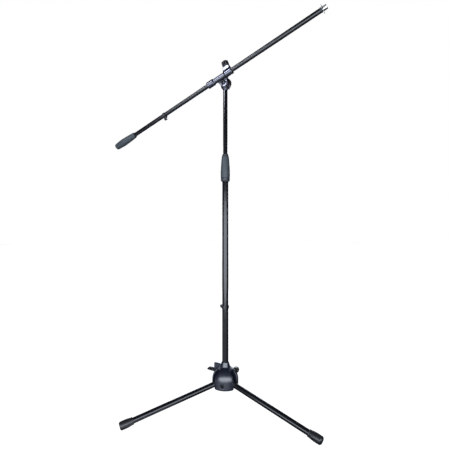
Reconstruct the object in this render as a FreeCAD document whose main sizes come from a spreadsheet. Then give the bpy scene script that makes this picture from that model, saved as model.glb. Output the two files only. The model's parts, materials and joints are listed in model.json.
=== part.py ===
import FreeCAD, Part
import math
import os
import re

import Sketcher

# Boom microphone stand, in millimetres.
# Origin: on the column's axis, at floor level. +Z up the column, +X below the microphone
# end of the boom, so the boom's tilt hinge lies along Y.

DIMENSIONS = {
    # Tubes: the sizes that stands of this kind are made from.
    "lower_tube_radius": 11.1,
    "lower_tube_wall": 1.2,
    "lower_tube_top": 842,
    "upper_tube_radius": 7.95,
    "upper_tube_wall": 1,
    "upper_tube_bottom": 478,
    "upper_tube_top": 1136,
    "leg_tube_radius": 9.5,
    "leg_tube_wall": 1,
    "running_clearance": 0.05,
    "fine_edge": 0.5,
    "soft_edge": 0.8,
    # Hub: a dome on a round skirt, with a neck that guides the column.
    "ball_radius": 46.3,
    "ball_height": 111,
    "hub_underside": 83.5,
    "skirt_edge": 2.5,
    "hub_top": 172,
    "neck_radius": 12.5,
    "neck_foot_radius": 17.8,
    "neck_chamfer": 0.6,
    "bore_clearance": 0.2,
    "cavity_radius": 18.2,
    "cavity_top": 111.2,
    "slot_width": 20.4,
    "slot_inner_radius": 14.4,
    "slot_shoulder": 140,
    "slot_well_place": 25.5,
    "slot_reach": 60,
    # Clamp boss on the hub's neck, opposite the front leg.
    "boss_reach": 43.5,
    "boss_width": 23,
    "boss_bottom": 118,
    "boss_top": 164,
    "boss_edge": 2.5,
    "clamp_screw_height": 133,
    "clamp_screw_radius": 4,
    "brake_pad_gap": 0.35,
    "brake_pad_length": 5.6,
    # Leg pivots.
    "pivot_radius": 26,
    "pivot_height": 100,
    "leg_slope": 15,
    "leg_rise": 1.8,
    "pin_radius": 3,
    "pin_blind_end": 20,
    "pin_seat": 22,
    "pin_head_radius": 4.4,
    "pin_head_height": 3,
    "pin_recess_radius": 7,
    # Leg knuckle: an eye on the pivot pin, a nose that bears on the column's plug, a shank
    # in the leg tube.
    "eye_radius": 6,
    "nose_angle": 150,
    "nose_length": 10.9,
    "nose_half_height": 3,
    "nose_width": 9,
    "knuckle_width": 19.6,
    "knuckle_over": 10,
    "knuckle_under": 6,
    "knuckle_edge": 1.5,
    "leg_tube_start": 19,
    "knuckle_shank": 26,
    # Leg and its rubber foot, measured along the leg from the pivot.
    "leg_length": 351.6,
    "foot_length": 45,
    "foot_mouth_radius": 11.9,
    "foot_bend": 230,
    "foot_end_radius": 13,
    "foot_sole": 4,
    "foot_edge": 2.5,
    # Plug in the bottom of the column.
    "plug_flange_radius": 17,
    "plug_flange_top": 104.5,
    "plug_flange_height": 4,
    "plug_shank": 22,
    # Twist clutch at the top of the lower tube.
    "clutch_bottom": 810,
    "collar_radius": 16.2,
    "collar_top": 824,
    "collar_gap": 0.8,
    "spigot_radius": 12.6,
    "spigot_top": 862,
    "collet_length": 28,
    "collet_slit": 1.6,
    "collet_squeeze": 1.9,
    "seat_depth": 1.5,
    "taper_clearance": 0.4,
    "nut_clearance": 0.3,
    "ring_clearance": 0.2,
    "nut_top": 899,
    "grip_max_radius": 16.4,
    "grip_top_radius": 12.7,
    "grip_straight": 20,
    "grip_bend": 330,
    "grip_thickness": 2.2,
    "nose_ring_top": 908.5,
    "nose_ring_radius": 10.2,
    # Bush that guides the upper tube in the lower tube.
    "bush_length": 40,
    "bush_floor": 3.5,
    # Tilting head.
    "hinge_height": 1160,
    "cup_radius": 16.5,
    "cup_height": 10,
    "cup_neck_radius": 8.9,
    "base_disc_radius": 20,
    "base_disc_thickness": 9.9,
    "saddle_radius": 15.3,
    "washer_thickness": 1.2,
    "washer_radius": 13.5,
    "nut_washer_thickness": 1.4,
    "tilt_bolt_radius": 4,
    "tilt_bolt_clearance": 0.07,
    "tilt_bolt_end": 26,
    "tilt_head_radius": 7.5,
    "tilt_head_height": 3.2,
    "stud_radius": 4.75,
    "stud_length": 8.4,
    "stud_plug_length": 26,
    # Boom and its carrier. The boom crosses the column's axis at boom_height.
    "boom_elevation": 22.45,
    "boom_height": 1179,
    "boom_offset": 20,
    "boom_tube_radius": 7.95,
    "boom_tube_wall": 1,
    "boom_mic_end": 373,
    "boom_grip_end": 528,
    "carrier_disc_radius": 14.5,
    "carrier_disc_thickness": 11.3,
    "sleeve_radius": 10,
    "sleeve_bore_radius": 8.6,
    "sleeve_front": 40,
    "sleeve_back": 64,
    "sleeve_collar_radius": 12.6,
    "sleeve_collar_length": 27,
    "sleeve_nose_length": 29,
    "web_back": 26,
    "web_front": 18,
    "web_thickness": 9,
    "web_gap": 5,
    "web_foot_reach": 13.8,
    "web_foot_drop": 4.5,
    "clamp_back": 6,
    "clamp_front": 39.5,
    "clamp_top_back": 14.5,
    "clamp_top_front": 37,
    "clamp_rise": 24.5,
    "clamp_thickness": 17,
    "clamp_edge": 2,
    "boom_screw_place": 25.5,
    "boom_screw_radius": 3,
    "shoe_radius": 4.5,
    "shoe_height": 4,
    "boom_bush_length": 16,
    # Hand screws.
    "knob_radius": 12.9,
    "knob_height": 18,
    "knob_flutes": 14,
    "flute_radius": 1.6,
    "knob_edge": 1.2,
    "wing_span": 28,
    "wing_height": 15,
    "hub_wing_span": 20,
    "hub_wing_height": 22.5,
    "hub_wing_stem": 7,
    "hub_wing_angle": 84,
    "wing_thickness": 8,
    "wing_collar_radius": 7,
    "wing_collar_height": 9,
    "wing_edge": 2,
    # Microphone end.
    "mic_thread_radius": 7.9375,
    "mic_thread_start": 379,
    "mic_thread_end": 395,
    "mic_neck_radius": 7.2,
    "mic_neck_length": 3,
    "mic_cap_radius": 8.7,
    "mic_plug_depth": 24,
    "mic_shank_radius": 5,
    "lock_ring_radius": 15,
    "lock_ring_height": 2.2,
    "lock_ring_gap": 0.3,
    # Grip at the other end of the boom.
    "boom_grip_start": 427,
    "boom_grip_mouth_radius": 11.2,
    "boom_grip_swell": 490,
    "boom_grip_swell_radius": 13.6,
    "boom_grip_end_radius": 12.3,
    "boom_grip_bend": 500,
    "boom_grip_sole": 4,
    "boom_grip_edge": 3,
    # Cable clips.
    "clip_wall": 2.2,
    "clip_mouth_angle": 80,
    "channel_radius": 4.5,
    "channel_wall": 1.9,
    "channel_mouth": 5,
    "column_clip_height": 366,
    "column_clip_width": 11,
    "column_clip_azimuth": 161,
    "boom_clip_place": 271,
    "boom_clip_width": 10.5,
}

LEGS = {"front": -9.8, "rear": 110.2, "left": 230.2}
CLAMP_AZIMUTH = LEGS["front"] + 180
TINY = 1e-9

doc = FreeCAD.newDocument("boom_microphone_stand")
sheet = doc.addObject("Spreadsheet::Sheet", "Dimensions")
for row, (word, value) in enumerate(DIMENSIONS.items(), start=1):
    sheet.set(f"A{row}", word)
    sheet.set(f"B{row}", str(value))
    sheet.setAlias(f"B{row}", word)
doc.recompute()

nodes = []


def formula(text):
    """An expression with each sheet word written in full."""
    return re.sub(
        r"[a-z_]+", lambda m: f"Dimensions.{m[0]}" if m[0] in DIMENSIONS else m[0], text
    )


def number(text):
    """The value of an expression on the sheet."""
    value = sheet.evalExpression(formula(text))
    return float(getattr(value, "Value", value))


def new_body(label):
    body = doc.addObject("PartDesign::Body", label)
    body.Label = label
    nodes.append(body)
    return body


def new_sketch(body, name, role="XZ_Plane", lift=None):
    """A sketch on one of the body's own planes, lifted along the plane's normal."""
    sketch = body.newObject("Sketcher::SketchObject", name)
    plane = next(f for f in body.Origin.OriginFeatures if f.Role == role)
    sketch.AttachmentSupport = [(plane, "")]
    sketch.MapMode = "FlatFace"
    if lift:
        sketch.setExpression("AttachmentOffset.Base.z", formula(lift))
    return sketch


def hold(sketch, curve, point, x, y):
    """Hold a point of a curve at coordinates given as expressions."""
    for kind, axis, text in (("DistanceX", -2, x), ("DistanceY", -1, y)):
        value = number(text)
        if abs(value) < TINY:
            sketch.addConstraint(Sketcher.Constraint("PointOnObject", curve, point, axis))
            continue
        index = sketch.addConstraint(Sketcher.Constraint(kind, -1, 1, curve, point, value))
        sketch.setExpression(f"Constraints[{index}]", formula(text))


def outline(sketch, corners, arcs=None):
    """A closed outline through the corners. An arc stands for the run after its corner's
    number: (radius, whether it runs anticlockwise), less than half a turn."""
    arcs = arcs or {}
    first = sketch.GeometryCount
    count = len(corners)
    places = [FreeCAD.Vector(number(x), number(y), 0) for x, y in corners]
    ends = []
    for i, (here, there) in enumerate(zip(places, places[1:] + places[:1])):
        if i not in arcs:
            sketch.addGeometry(Part.LineSegment(here, there))
            ends.append((1, 2))
            continue
        radius, anticlockwise = arcs[i]
        chord = there - here
        rise = math.sqrt(number(radius) ** 2 - (chord.Length / 2) ** 2)
        side = FreeCAD.Vector(-chord.y, chord.x, 0).normalize()
        centre = (here + there) / 2 + side * (rise if anticlockwise else -rise)
        circle = Part.Circle(centre, FreeCAD.Vector(0, 0, 1), number(radius))
        start = math.atan2(here.y - centre.y, here.x - centre.x)
        end = math.atan2(there.y - centre.y, there.x - centre.x)
        angles = (start, end) if anticlockwise else (end, start)
        curve = sketch.addGeometry(Part.ArcOfCircle(circle, *angles))
        index = sketch.addConstraint(Sketcher.Constraint("Radius", curve, number(radius)))
        sketch.setExpression(f"Constraints[{index}]", formula(radius))
        ends.append((1, 2) if anticlockwise else (2, 1))
    for i, (x, y) in enumerate(corners):
        following = (i + 1) % count
        joint = (first + i, ends[i][1], first + following, ends[following][0])
        sketch.addConstraint(Sketcher.Constraint("Coincident", *joint))
        hold(sketch, first + i, ends[i][0], x, y)


def ring(sketch, x, y, radius):
    """A circle."""
    centre = FreeCAD.Vector(number(x), number(y), 0)
    up = FreeCAD.Vector(0, 0, 1)
    curve = sketch.addGeometry(Part.Circle(centre, up, number(radius)))
    hold(sketch, curve, 3, x, y)
    index = sketch.addConstraint(Sketcher.Constraint("Radius", curve, number(radius)))
    sketch.setExpression(f"Constraints[{index}]", formula(radius))


def turn(body, corners, name="Turned", cut=False, arcs=None):
    """Revolve an outline of (radius, height) corners about the body's Z axis."""
    sketch = new_sketch(body, f"{name}Outline")
    outline(sketch, corners, arcs)
    kind = "PartDesign::Groove" if cut else "PartDesign::Revolution"
    feature = body.newObject(kind, name)
    feature.Profile = sketch
    feature.ReferenceAxis = (sketch, ["V_Axis"])
    feature.Angle = 360
    sketch.Visibility = False
    doc.recompute()
    return feature


def extrude(body, sketch, length, name, cut=False, both=False, flip=False):
    """Pad or pocket a sketch by an expression, from its plane or to both sides of it."""
    kind = "PartDesign::Pocket" if cut else "PartDesign::Pad"
    feature = body.newObject(kind, name)
    feature.Profile = sketch
    feature.setExpression("Length", formula(length))
    feature.Midplane = both
    feature.Reversed = flip
    sketch.Visibility = False
    before = 0 if body.Shape.isNull() else body.Shape.Volume
    doc.recompute()
    grew = body.Shape.Volume - before
    if (grew >= 0) if cut else (grew <= 0):
        raise RuntimeError(f"{body.Label}.{name} changed nothing")
    return feature


def repeat(body, features, count, name):
    """Repeat features round the body's Z axis."""
    pattern = body.newObject("PartDesign::PolarPattern", name)
    pattern.Originals = features
    pattern.Axis = (features[0].Profile[0], ["V_Axis"])
    pattern.Angle = 360
    pattern.setExpression("Occurrences", formula(count))
    body.Tip = pattern
    doc.recompute()
    return pattern


def ease(body, size, pick, name, chamfer=False):
    """Fillet or chamfer the edges of the body that pick says yes to."""
    base = body.Tip
    edges = [f"Edge{i}" for i, edge in enumerate(base.Shape.Edges, start=1) if pick(edge)]
    if not edges:
        raise RuntimeError(f"{body.Label}.{name} found no edges")
    kind = "PartDesign::Chamfer" if chamfer else "PartDesign::Fillet"
    feature = body.newObject(kind, name)
    feature.Base = (base, edges)
    feature.setExpression("Size" if chamfer else "Radius", formula(size))
    doc.recompute()
    return feature


def circles(*places):
    """Picks full circles about the Z axis at (radius, height) places given as expressions."""
    wanted = [(number(radius), number(height)) for radius, height in places]

    def pick(edge):
        if not isinstance(edge.Curve, Part.Circle):
            return False
        found = (edge.Curve.Radius, edge.Curve.Center.z)
        return any(math.dist(found, place) < 0.01 for place in wanted)

    return pick


def upright(low, high, near):
    """Picks straight edges along Z between two heights whose middle passes a test."""

    def pick(edge):
        box = edge.BoundBox
        straight = isinstance(edge.Curve, Part.Line) and box.ZLength > 1
        slim = box.XLength < TINY ** 0.5 and box.YLength < TINY ** 0.5
        return straight and slim and low <= box.Center.z <= high and near(box.Center)

    return pick


def turned(label, corners, arcs=None):
    """A piece turned about Z."""
    body = new_body(label)
    turn(body, corners, arcs=arcs)
    return body


def tube(label, outer, inner, bottom, top):
    """A straight tube or solid rod about Z."""
    return turned(label, [(inner, bottom), (outer, bottom), (outer, top), (inner, top)])


def put(body, place):
    body.Placement = place
    return body


def place_of(x, y, z, *turns):
    """A position after turns of (axis, degrees), the last turn made first."""
    rotation = FreeCAD.Rotation()
    for axis, degrees in turns:
        rotation = rotation.multiply(FreeCAD.Rotation(FreeCAD.Vector(*axis), degrees))
    return FreeCAD.Placement(FreeCAD.Vector(x, y, z), rotation)


ALONG_Y = (0, 1, 0)
ALONG_Z = (0, 0, 1)
ALONG_X = (1, 0, 0)


def hub_frame():
    """Turns a piece drawn with the front leg along +X to the leg's own azimuth."""
    return place_of(0, 0, 0, (ALONG_Z, LEGS["front"]))


def leg_frame(azimuth):
    """Local Z along the leg away from its pivot, local -X up, local Y along the pivot."""
    angle = math.radians(azimuth)
    reach = number("pivot_radius")
    return place_of(
        reach * math.cos(angle),
        reach * math.sin(angle),
        number("pivot_height"),
        (ALONG_Z, azimuth),
        (ALONG_Y, 90 + number("leg_slope")),
    )


def clamp_frame():
    """Local Z outwards along the hub's clamp screw, from the column's axis."""
    height = number("clamp_screw_height")
    return place_of(0, 0, height, (ALONG_Z, CLAMP_AZIMUTH), (ALONG_Y, 90))


def head_frame():
    """At the tilt hinge, local X along the boom, local Z square to it and upwards."""
    return place_of(0, 0, number("hinge_height"), (ALONG_Y, -number("boom_elevation")))


def boom_frame():
    """On the boom's axis above the column, local Z towards the microphone end."""
    turns = (ALONG_Y, 90 - number("boom_elevation"))
    return place_of(0, -number("boom_offset"), number("boom_height"), turns)


def boom_screw_frame():
    """On the boom's axis below its clamp screw, local Z outwards along the screw."""
    along = FreeCAD.Vector(0, 0, number("boom_screw_place"))
    foot = boom_frame().multVec(along)
    return place_of(foot.x, foot.y, foot.z, (ALONG_Y, -number("boom_elevation")))


def tilt_frame():
    """At the tilt hinge, local Z along +Y, local X up."""
    return place_of(0, 0, number("hinge_height"), (ALONG_X, -90), (ALONG_Z, -90))


# ---------------------------------------------------------------------------------- hub


def make_hub():
    """The dome with its skirt, neck, clamp boss, leg slots, pin holes and column bore."""
    body = new_body("hub_casting")
    foot_rise = "sqrt(ball_radius^2-neck_foot_radius^2)"
    corners = [
        ("0", "hub_underside"),
        ("ball_radius-skirt_edge", "hub_underside"),
        ("ball_radius", "hub_underside+skirt_edge"),
        ("ball_radius", "ball_height"),
        ("neck_foot_radius", f"ball_height+{foot_rise}"),
        ("neck_radius", "hub_top-neck_chamfer"),
        ("neck_radius-neck_chamfer", "hub_top"),
        ("0", "hub_top"),
    ]
    arcs = {1: ("skirt_edge", True), 3: ("ball_radius", True)}
    turn(body, corners, "Dome", arcs=arcs)

    sketch = new_sketch(body, "BossOutline")
    bottom, top, far = "boss_bottom", "boss_top", "-boss_reach"
    outline(sketch, [("-neck_radius/2", bottom), ("-neck_radius/2", top), (far, top), (far, bottom)])
    extrude(body, sketch, "boss_width", "Boss", both=True)
    outer = -number("boss_reach")
    ease(
        body,
        "boss_edge",
        upright(number("boss_bottom"), number("boss_top"), lambda c: abs(c.x - outer) < 0.1),
        "BossCorners",
    )

    sketch = new_sketch(body, "CavityOutline", "XY_Plane", "hub_underside")
    ring(sketch, "0", "0", "cavity_radius")
    extrude(body, sketch, "cavity_top-hub_underside", "Cavity", cut=True, flip=True)
    sketch = new_sketch(body, "BoreOutline", "XY_Plane", "cavity_top")
    ring(sketch, "0", "0", "lower_tube_radius+bore_clearance")
    extrude(body, sketch, "hub_top-cavity_top", "Bore", cut=True, flip=True)

    sketch = new_sketch(body, "SlotOutline")
    outline(
        sketch,
        [
            ("slot_inner_radius", "cavity_top"),
            ("slot_inner_radius", "slot_shoulder"),
            ("slot_well_place", "slot_shoulder"),
            ("slot_well_place", "hub_top"),
            ("slot_reach", "hub_top"),
            ("slot_reach", "hub_underside-1"),
            ("slot_inner_radius+1", "hub_underside-1"),
            ("slot_inner_radius+1", "cavity_top"),
        ],
    )
    slot = extrude(body, sketch, "slot_width", "LegSlot", cut=True, both=True)
    sketch = new_sketch(body, "SlotWellOutline", "XY_Plane", "slot_shoulder-1")
    ring(sketch, "slot_well_place", "0", "slot_width/2")
    well = extrude(body, sketch, "hub_top-slot_shoulder+1", "LegWell", cut=True, flip=True)
    sketch = new_sketch(body, "PinHoleOutline", lift="-pin_seat")
    ring(sketch, "pivot_radius", "pivot_height", "pin_radius")
    hole = extrude(body, sketch, "pin_seat+pin_blind_end", "PinHole", cut=True, flip=True)
    sketch = new_sketch(body, "PinRecessOutline", lift="-pin_seat")
    ring(sketch, "pivot_radius", "pivot_height", "pin_recess_radius")
    recess = extrude(body, sketch, "ball_radius", "PinRecess", cut=True)
    repeat(body, [slot, well, hole, recess], "3", "ThreeLegs")

    sketch = new_sketch(body, "ScrewHoleOutline", "YZ_Plane")
    ring(sketch, "0", "clamp_screw_height", "clamp_screw_radius+running_clearance")
    extrude(body, sketch, "boss_reach+1", "ScrewHole", cut=True)
    return put(body, hub_frame())


def make_pins():
    """Three headed pivot pins, one for each leg, as separate solids of one node."""
    solids = []
    for azimuth in LEGS.values():
        length = number("pin_seat") + number("pin_blind_end")
        shank = Part.makeCylinder(number("pin_radius"), length)
        shank.translate(FreeCAD.Vector(0, 0, -number("pin_blind_end")))
        head = Part.makeCylinder(number("pin_head_radius"), number("pin_head_height"))
        head.translate(FreeCAD.Vector(0, 0, number("pin_seat")))
        solid = shank.fuse(head).removeSplitter()
        angle = math.radians(azimuth)
        reach = number("pivot_radius")
        place = place_of(
            reach * math.cos(angle),
            reach * math.sin(angle),
            number("pivot_height"),
            (ALONG_Z, azimuth),
            (ALONG_X, -90),
        )
        solids.append(solid.transformGeometry(place.toMatrix()))
    feature = doc.addObject("Part::Feature", "leg_pivot_pins")
    feature.Label = "leg_pivot_pins"
    feature.Shape = Part.makeCompound(solids)
    nodes.append(feature)
    return feature


def make_hub_clamp():
    """The pad that presses on the column, its screw, and the wing that turns the screw."""
    start = "lower_tube_radius+brake_pad_gap"
    pad = tube("hub_brake_pad", "clamp_screw_radius", "0", start, f"{start}+brake_pad_length")
    put(pad, clamp_frame())
    tip = f"{start}+brake_pad_length+running_clearance"
    stud_end = "boss_reach+hub_wing_stem+hub_wing_height"
    stud = tube("hub_screw_stud", "clamp_screw_radius", "0", tip, stud_end)
    put(stud, clamp_frame())
    start = "boss_reach+collar_gap"
    size = ("hub_wing_stem", "hub_wing_span", "hub_wing_height")
    wing = make_wing("hub_screw_wing", start, size, "clamp_screw_radius", stud_end)
    rested = place_of(0, 0, 0, (ALONG_Z, number("hub_wing_angle")))
    put(wing, clamp_frame().multiply(rested))


def make_wing(label, start, size, bore, bore_end):
    """A moulded wing screw head: a stem, a round collar and two flat wings on its screw."""
    body = new_body(label)
    stem, span, height = size
    end = f"{start}+{stem}+{height}+wing_edge"
    collar_end = f"{start}+{stem}+wing_collar_height"
    neck = "wing_collar_radius-wing_edge"
    corners = [
        ("0", start),
        ("wing_collar_radius", start),
        ("wing_collar_radius", collar_end),
        (neck, end),
        ("0", end),
    ]
    turn(body, corners, "Collar")
    sketch = new_sketch(body, "WingOutline")
    low = f"{start}+{stem}+wing_edge"
    half = f"{span}/2"
    far = f"{end}+wing_edge"
    outline(
        sketch,
        [
            (f"-{half}+wing_edge*3", low),
            (f"{half}-wing_edge*3", low),
            (half, f"{low}+wing_edge*4"),
            (half, far),
            ("wing_edge*2", f"{end}-wing_edge/2"),
            ("-wing_edge*2", f"{end}-wing_edge/2"),
            (f"-{half}", far),
            (f"-{half}", f"{low}+wing_edge*4"),
        ],
    )
    extrude(body, sketch, "wing_thickness", "Wings", both=True)
    half_span = number(half)

    def tips(edge):
        box = edge.BoundBox
        return box.YLength > 1 and abs(abs(box.Center.x) - half_span) < 0.01

    ease(body, "wing_edge", tips, "WingTips")
    turn(body, [("0", start), (bore, start), (bore, bore_end), ("0", bore_end)], "Bore", cut=True)
    return body


def make_leg(word, azimuth):
    """A die-cast knuckle, the leg tube pressed on its shank, and a rubber foot."""
    body = new_body(f"leg_knuckle_{word}")
    sketch = new_sketch(body, "EyeOutline")
    ring(sketch, "0", "0", "eye_radius")
    extrude(body, sketch, "knuckle_width", "Eye", both=True)
    sketch = new_sketch(body, "BlockOutline")
    outline(
        sketch,
        [
            ("-knuckle_over", "0"),
            ("-leg_tube_radius-leg_rise", "leg_tube_start"),
            ("leg_tube_radius-leg_rise", "leg_tube_start"),
            ("knuckle_under", "knuckle_edge"),
            ("eye_radius-knuckle_edge", "0"),
        ],
    )
    extrude(body, sketch, "knuckle_width-knuckle_edge", "Block", both=True)
    nose_x = "-nose_length*sin(nose_angle)"
    nose_z = "nose_length*cos(nose_angle)"
    side_x = "nose_half_height*cos(nose_angle)"
    side_z = "nose_half_height*sin(nose_angle)"
    sketch = new_sketch(body, "NoseArmOutline")
    outline(
        sketch,
        [
            (side_x, side_z),
            (f"{nose_x}+{side_x}", f"{nose_z}+{side_z}"),
            (f"{nose_x}-{side_x}", f"{nose_z}-{side_z}"),
            (f"-{side_x}", f"-{side_z}"),
        ],
    )
    extrude(body, sketch, "nose_width", "NoseArm", both=True)
    sketch = new_sketch(body, "NoseTipOutline")
    ring(sketch, nose_x, nose_z, "nose_half_height")
    extrude(body, sketch, "nose_width", "NoseTip", both=True)
    sketch = new_sketch(body, "ShankOutline", "XY_Plane", "leg_tube_start")
    ring(sketch, "-leg_rise", "0", "leg_tube_radius-leg_tube_wall")
    extrude(body, sketch, "knuckle_shank", "Shank")
    sketch = new_sketch(body, "PinBoreOutline")
    ring(sketch, "0", "0", "pin_radius+running_clearance")
    extrude(body, sketch, "knuckle_width+1", "PinBore", cut=True, both=True)
    put(body, leg_frame(azimuth))

    rise = FreeCAD.Vector(-number("leg_rise"), 0, 0)
    along = leg_frame(azimuth).multiply(FreeCAD.Placement(rise, FreeCAD.Rotation()))
    inner = "leg_tube_radius-leg_tube_wall"
    leg_end = "leg_length-foot_sole"
    put(tube(f"leg_tube_{word}", "leg_tube_radius", inner, "leg_tube_start", leg_end), along)

    mouth = "leg_length-foot_length"
    foot = turned(
        f"leg_foot_{word}",
        [
            ("leg_tube_radius", mouth),
            ("foot_mouth_radius-foot_edge/3", mouth),
            ("foot_mouth_radius", f"{mouth}+foot_edge/3"),
            ("foot_end_radius", "leg_length-foot_edge"),
            ("foot_end_radius-foot_edge", "leg_length"),
            ("0", "leg_length"),
            ("0", leg_end),
            ("leg_tube_radius", leg_end),
        ],
        {2: ("foot_bend", True)},
    )
    rim = ("foot_end_radius", "leg_length-foot_edge")
    ease(foot, "foot_edge", circles(rim), "EndRounding")
    sketch = new_sketch(foot, "FloorOutline")
    rows = []
    for along_leg in (mouth, "leg_length+foot_edge"):
        drop = f"(pivot_height-({along_leg})*sin(leg_slope))/cos(leg_slope)+leg_rise"
        rows.append((drop, along_leg))
    outline(sketch, [rows[0], rows[1], (f"{rows[1][0]}+foot_length", rows[1][1])])
    extrude(foot, sketch, "foot_end_radius*3", "FloorCut", cut=True, both=True)
    put(foot, along)


def make_column():
    """The lower tube and the flanged plug in its foot that holds the leg noses down."""
    inner = "lower_tube_radius-lower_tube_wall"
    tube("lower_tube", "lower_tube_radius", inner, "plug_flange_top", "lower_tube_top")
    flange_bottom = "plug_flange_top-plug_flange_height"
    turned(
        "column_end_plug",
        [
            ("0", flange_bottom),
            ("plug_flange_radius-1", flange_bottom),
            ("plug_flange_radius", f"{flange_bottom}+1"),
            ("plug_flange_radius", "plug_flange_top"),
            (inner, "plug_flange_top"),
            (inner, "plug_flange_top+plug_shank-1"),
            (f"{inner}-1", "plug_flange_top+plug_shank"),
            ("0", "plug_flange_top+plug_shank"),
        ],
    )


def make_clutch():
    """The twist clutch: a threaded spigot on the tube, a split collet, the nut that closes
    it, the nut's soft grip, and a wiper ring at the top."""
    outer = "lower_tube_radius+running_clearance/5"
    seat = "lower_tube_radius-seat_depth"
    turned(
        "clutch_body",
        [
            (outer, "clutch_bottom"),
            ("collar_radius-2.5", "clutch_bottom"),
            ("collar_radius", "clutch_bottom+4"),
            ("collar_radius", "collar_top-1"),
            ("collar_radius-1", "collar_top"),
            ("spigot_radius", "collar_top"),
            ("spigot_radius", "spigot_top-0.6"),
            ("spigot_radius-0.6", "spigot_top"),
            ("spigot_radius-1.6", "spigot_top"),
            (seat, "lower_tube_top+8"),
            (seat, "lower_tube_top"),
            (outer, "lower_tube_top"),
        ],
    )
    low = "lower_tube_top+9"
    middle = f"{low}+collet_length*0.4"
    high = f"{low}+collet_length"
    bore = "upper_tube_radius+running_clearance"
    collet = turned(
        "clutch_collet",
        [
            (bore, low),
            (f"{seat}-taper_clearance", low),
            ("spigot_radius-collet_squeeze", middle),
            ("spigot_radius-collet_squeeze", f"{middle}+1"),
            (f"{seat}-taper_clearance", high),
            (bore, high),
        ],
    )
    sketch = new_sketch(collet, "SlitOutline", "XY_Plane", low)
    half, far = "collet_slit/2", "spigot_radius*1.2"
    outline(sketch, [("0", f"-{half}"), (far, f"-{half}"), (far, half), ("0", half)])
    extrude(collet, sketch, "collet_length", "Slit", cut=True, flip=True)

    bottom = "collar_top+collar_gap"
    thread = "spigot_radius+running_clearance*1.6"
    skin = "grip_max_radius-grip_thickness"
    top_skin = "grip_top_radius-grip_thickness"
    turned(
        "clutch_nut",
        [
            (thread, bottom),
            (skin, bottom),
            (skin, f"{bottom}+grip_straight"),
            (top_skin, "nut_top"),
            ("upper_tube_radius+nut_clearance", "nut_top"),
            ("upper_tube_radius+nut_clearance", f"{high}+taper_clearance"),
            (f"{seat}-0.3", f"{high}+taper_clearance"),
            ("spigot_radius-1.5", f"{middle}+1.2"),
            (thread, f"{middle}+1"),
        ],
    )
    turned(
        "clutch_grip",
        [
            (skin, bottom),
            ("grip_max_radius-1", bottom),
            ("grip_max_radius", f"{bottom}+3"),
            ("grip_max_radius", f"{bottom}+grip_straight"),
            ("grip_top_radius", "nut_top"),
            (top_skin, "nut_top"),
            (skin, f"{bottom}+grip_straight"),
        ],
        {3: ("grip_bend", True)},
    )
    turned(
        "clutch_nose_ring",
        [
            ("upper_tube_radius+ring_clearance", "nut_top"),
            ("grip_top_radius-taper_clearance", "nut_top"),
            ("grip_top_radius-taper_clearance", "nut_top+3"),
            ("nose_ring_radius", "nut_top+5"),
            ("nose_ring_radius", "nose_ring_top-soft_edge"),
            ("nose_ring_radius-soft_edge", "nose_ring_top"),
            ("upper_tube_radius+ring_clearance", "nose_ring_top"),
        ],
    )


def make_upper_tube():
    """The upper tube, the bush that guides its foot, and the threaded plug in its top."""
    inner = "upper_tube_radius-upper_tube_wall"
    tube("upper_tube", "upper_tube_radius", inner, "upper_tube_bottom", "upper_tube_top")
    low = "upper_tube_bottom-bush_floor-running_clearance*4"
    outer = "lower_tube_radius-lower_tube_wall-running_clearance*2"
    bore = "upper_tube_radius+running_clearance"
    turned(
        "guide_bush",
        [
            (f"{inner}-fine_edge", low),
            (f"{outer}-soft_edge", low),
            (outer, f"{low}+soft_edge"),
            (outer, f"{low}+bush_length"),
            (bore, f"{low}+bush_length"),
            (bore, f"{low}+bush_floor"),
            (f"{inner}-fine_edge", f"{low}+bush_floor"),
        ],
    )
    turned(
        "tube_top_stud",
        [
            ("0", "upper_tube_top-stud_plug_length"),
            (inner, "upper_tube_top-stud_plug_length"),
            (inner, "upper_tube_top"),
            ("stud_radius", "upper_tube_top"),
            ("stud_radius", "upper_tube_top+stud_length-1"),
            ("stud_radius-1", "upper_tube_top+stud_length"),
            ("0", "upper_tube_top+stud_length"),
        ],
    )


def make_swivel_base():
    """The lower casting of the head: a cup on the upper tube and the far hinge disc."""
    body = new_body("swivel_base")
    step = "upper_tube_top+1.5"
    corners = [
        ("0", "upper_tube_top"),
        ("cup_neck_radius-0.7", "upper_tube_top"),
        ("cup_neck_radius", "upper_tube_top+0.7"),
        ("cup_neck_radius", step),
        ("cup_radius", "upper_tube_top+cup_height"),
        ("cup_radius", "hinge_height-saddle_radius/2"),
        ("0", "hinge_height-saddle_radius/2"),
    ]
    turn(body, corners, "Cup")
    sketch = new_sketch(body, "DiscOutline", lift="-washer_thickness/2")
    ring(sketch, "0", "hinge_height", "base_disc_radius")
    extrude(body, sketch, "base_disc_thickness", "Disc", flip=True)
    sketch = new_sketch(body, "SaddleOutline", lift="-washer_thickness/2")
    low, high, side = "hinge_height-saddle_radius", "hinge_height", "cup_radius+1"
    outline(sketch, [(f"-({side})", low), (side, low), (side, high), (f"-({side})", high)])
    extrude(body, sketch, "cup_radius*2", "Saddle", cut=True, flip=True)
    sketch = new_sketch(body, "BackOutline", lift="-washer_thickness/2-base_disc_thickness")
    ring(sketch, "0", "hinge_height", "saddle_radius")
    extrude(body, sketch, "cup_radius*2", "Back", cut=True)
    sketch = new_sketch(body, "BoltBoreOutline")
    ring(sketch, "0", "hinge_height", "tilt_bolt_radius+tilt_bolt_clearance")
    extrude(body, sketch, "cup_radius*4", "BoltBore", cut=True, both=True)
    low, high = "upper_tube_top", "upper_tube_top+stud_length"
    turn(body, [("0", low), ("stud_radius", low), ("stud_radius", high), ("0", high)], "Tap", True)


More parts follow.
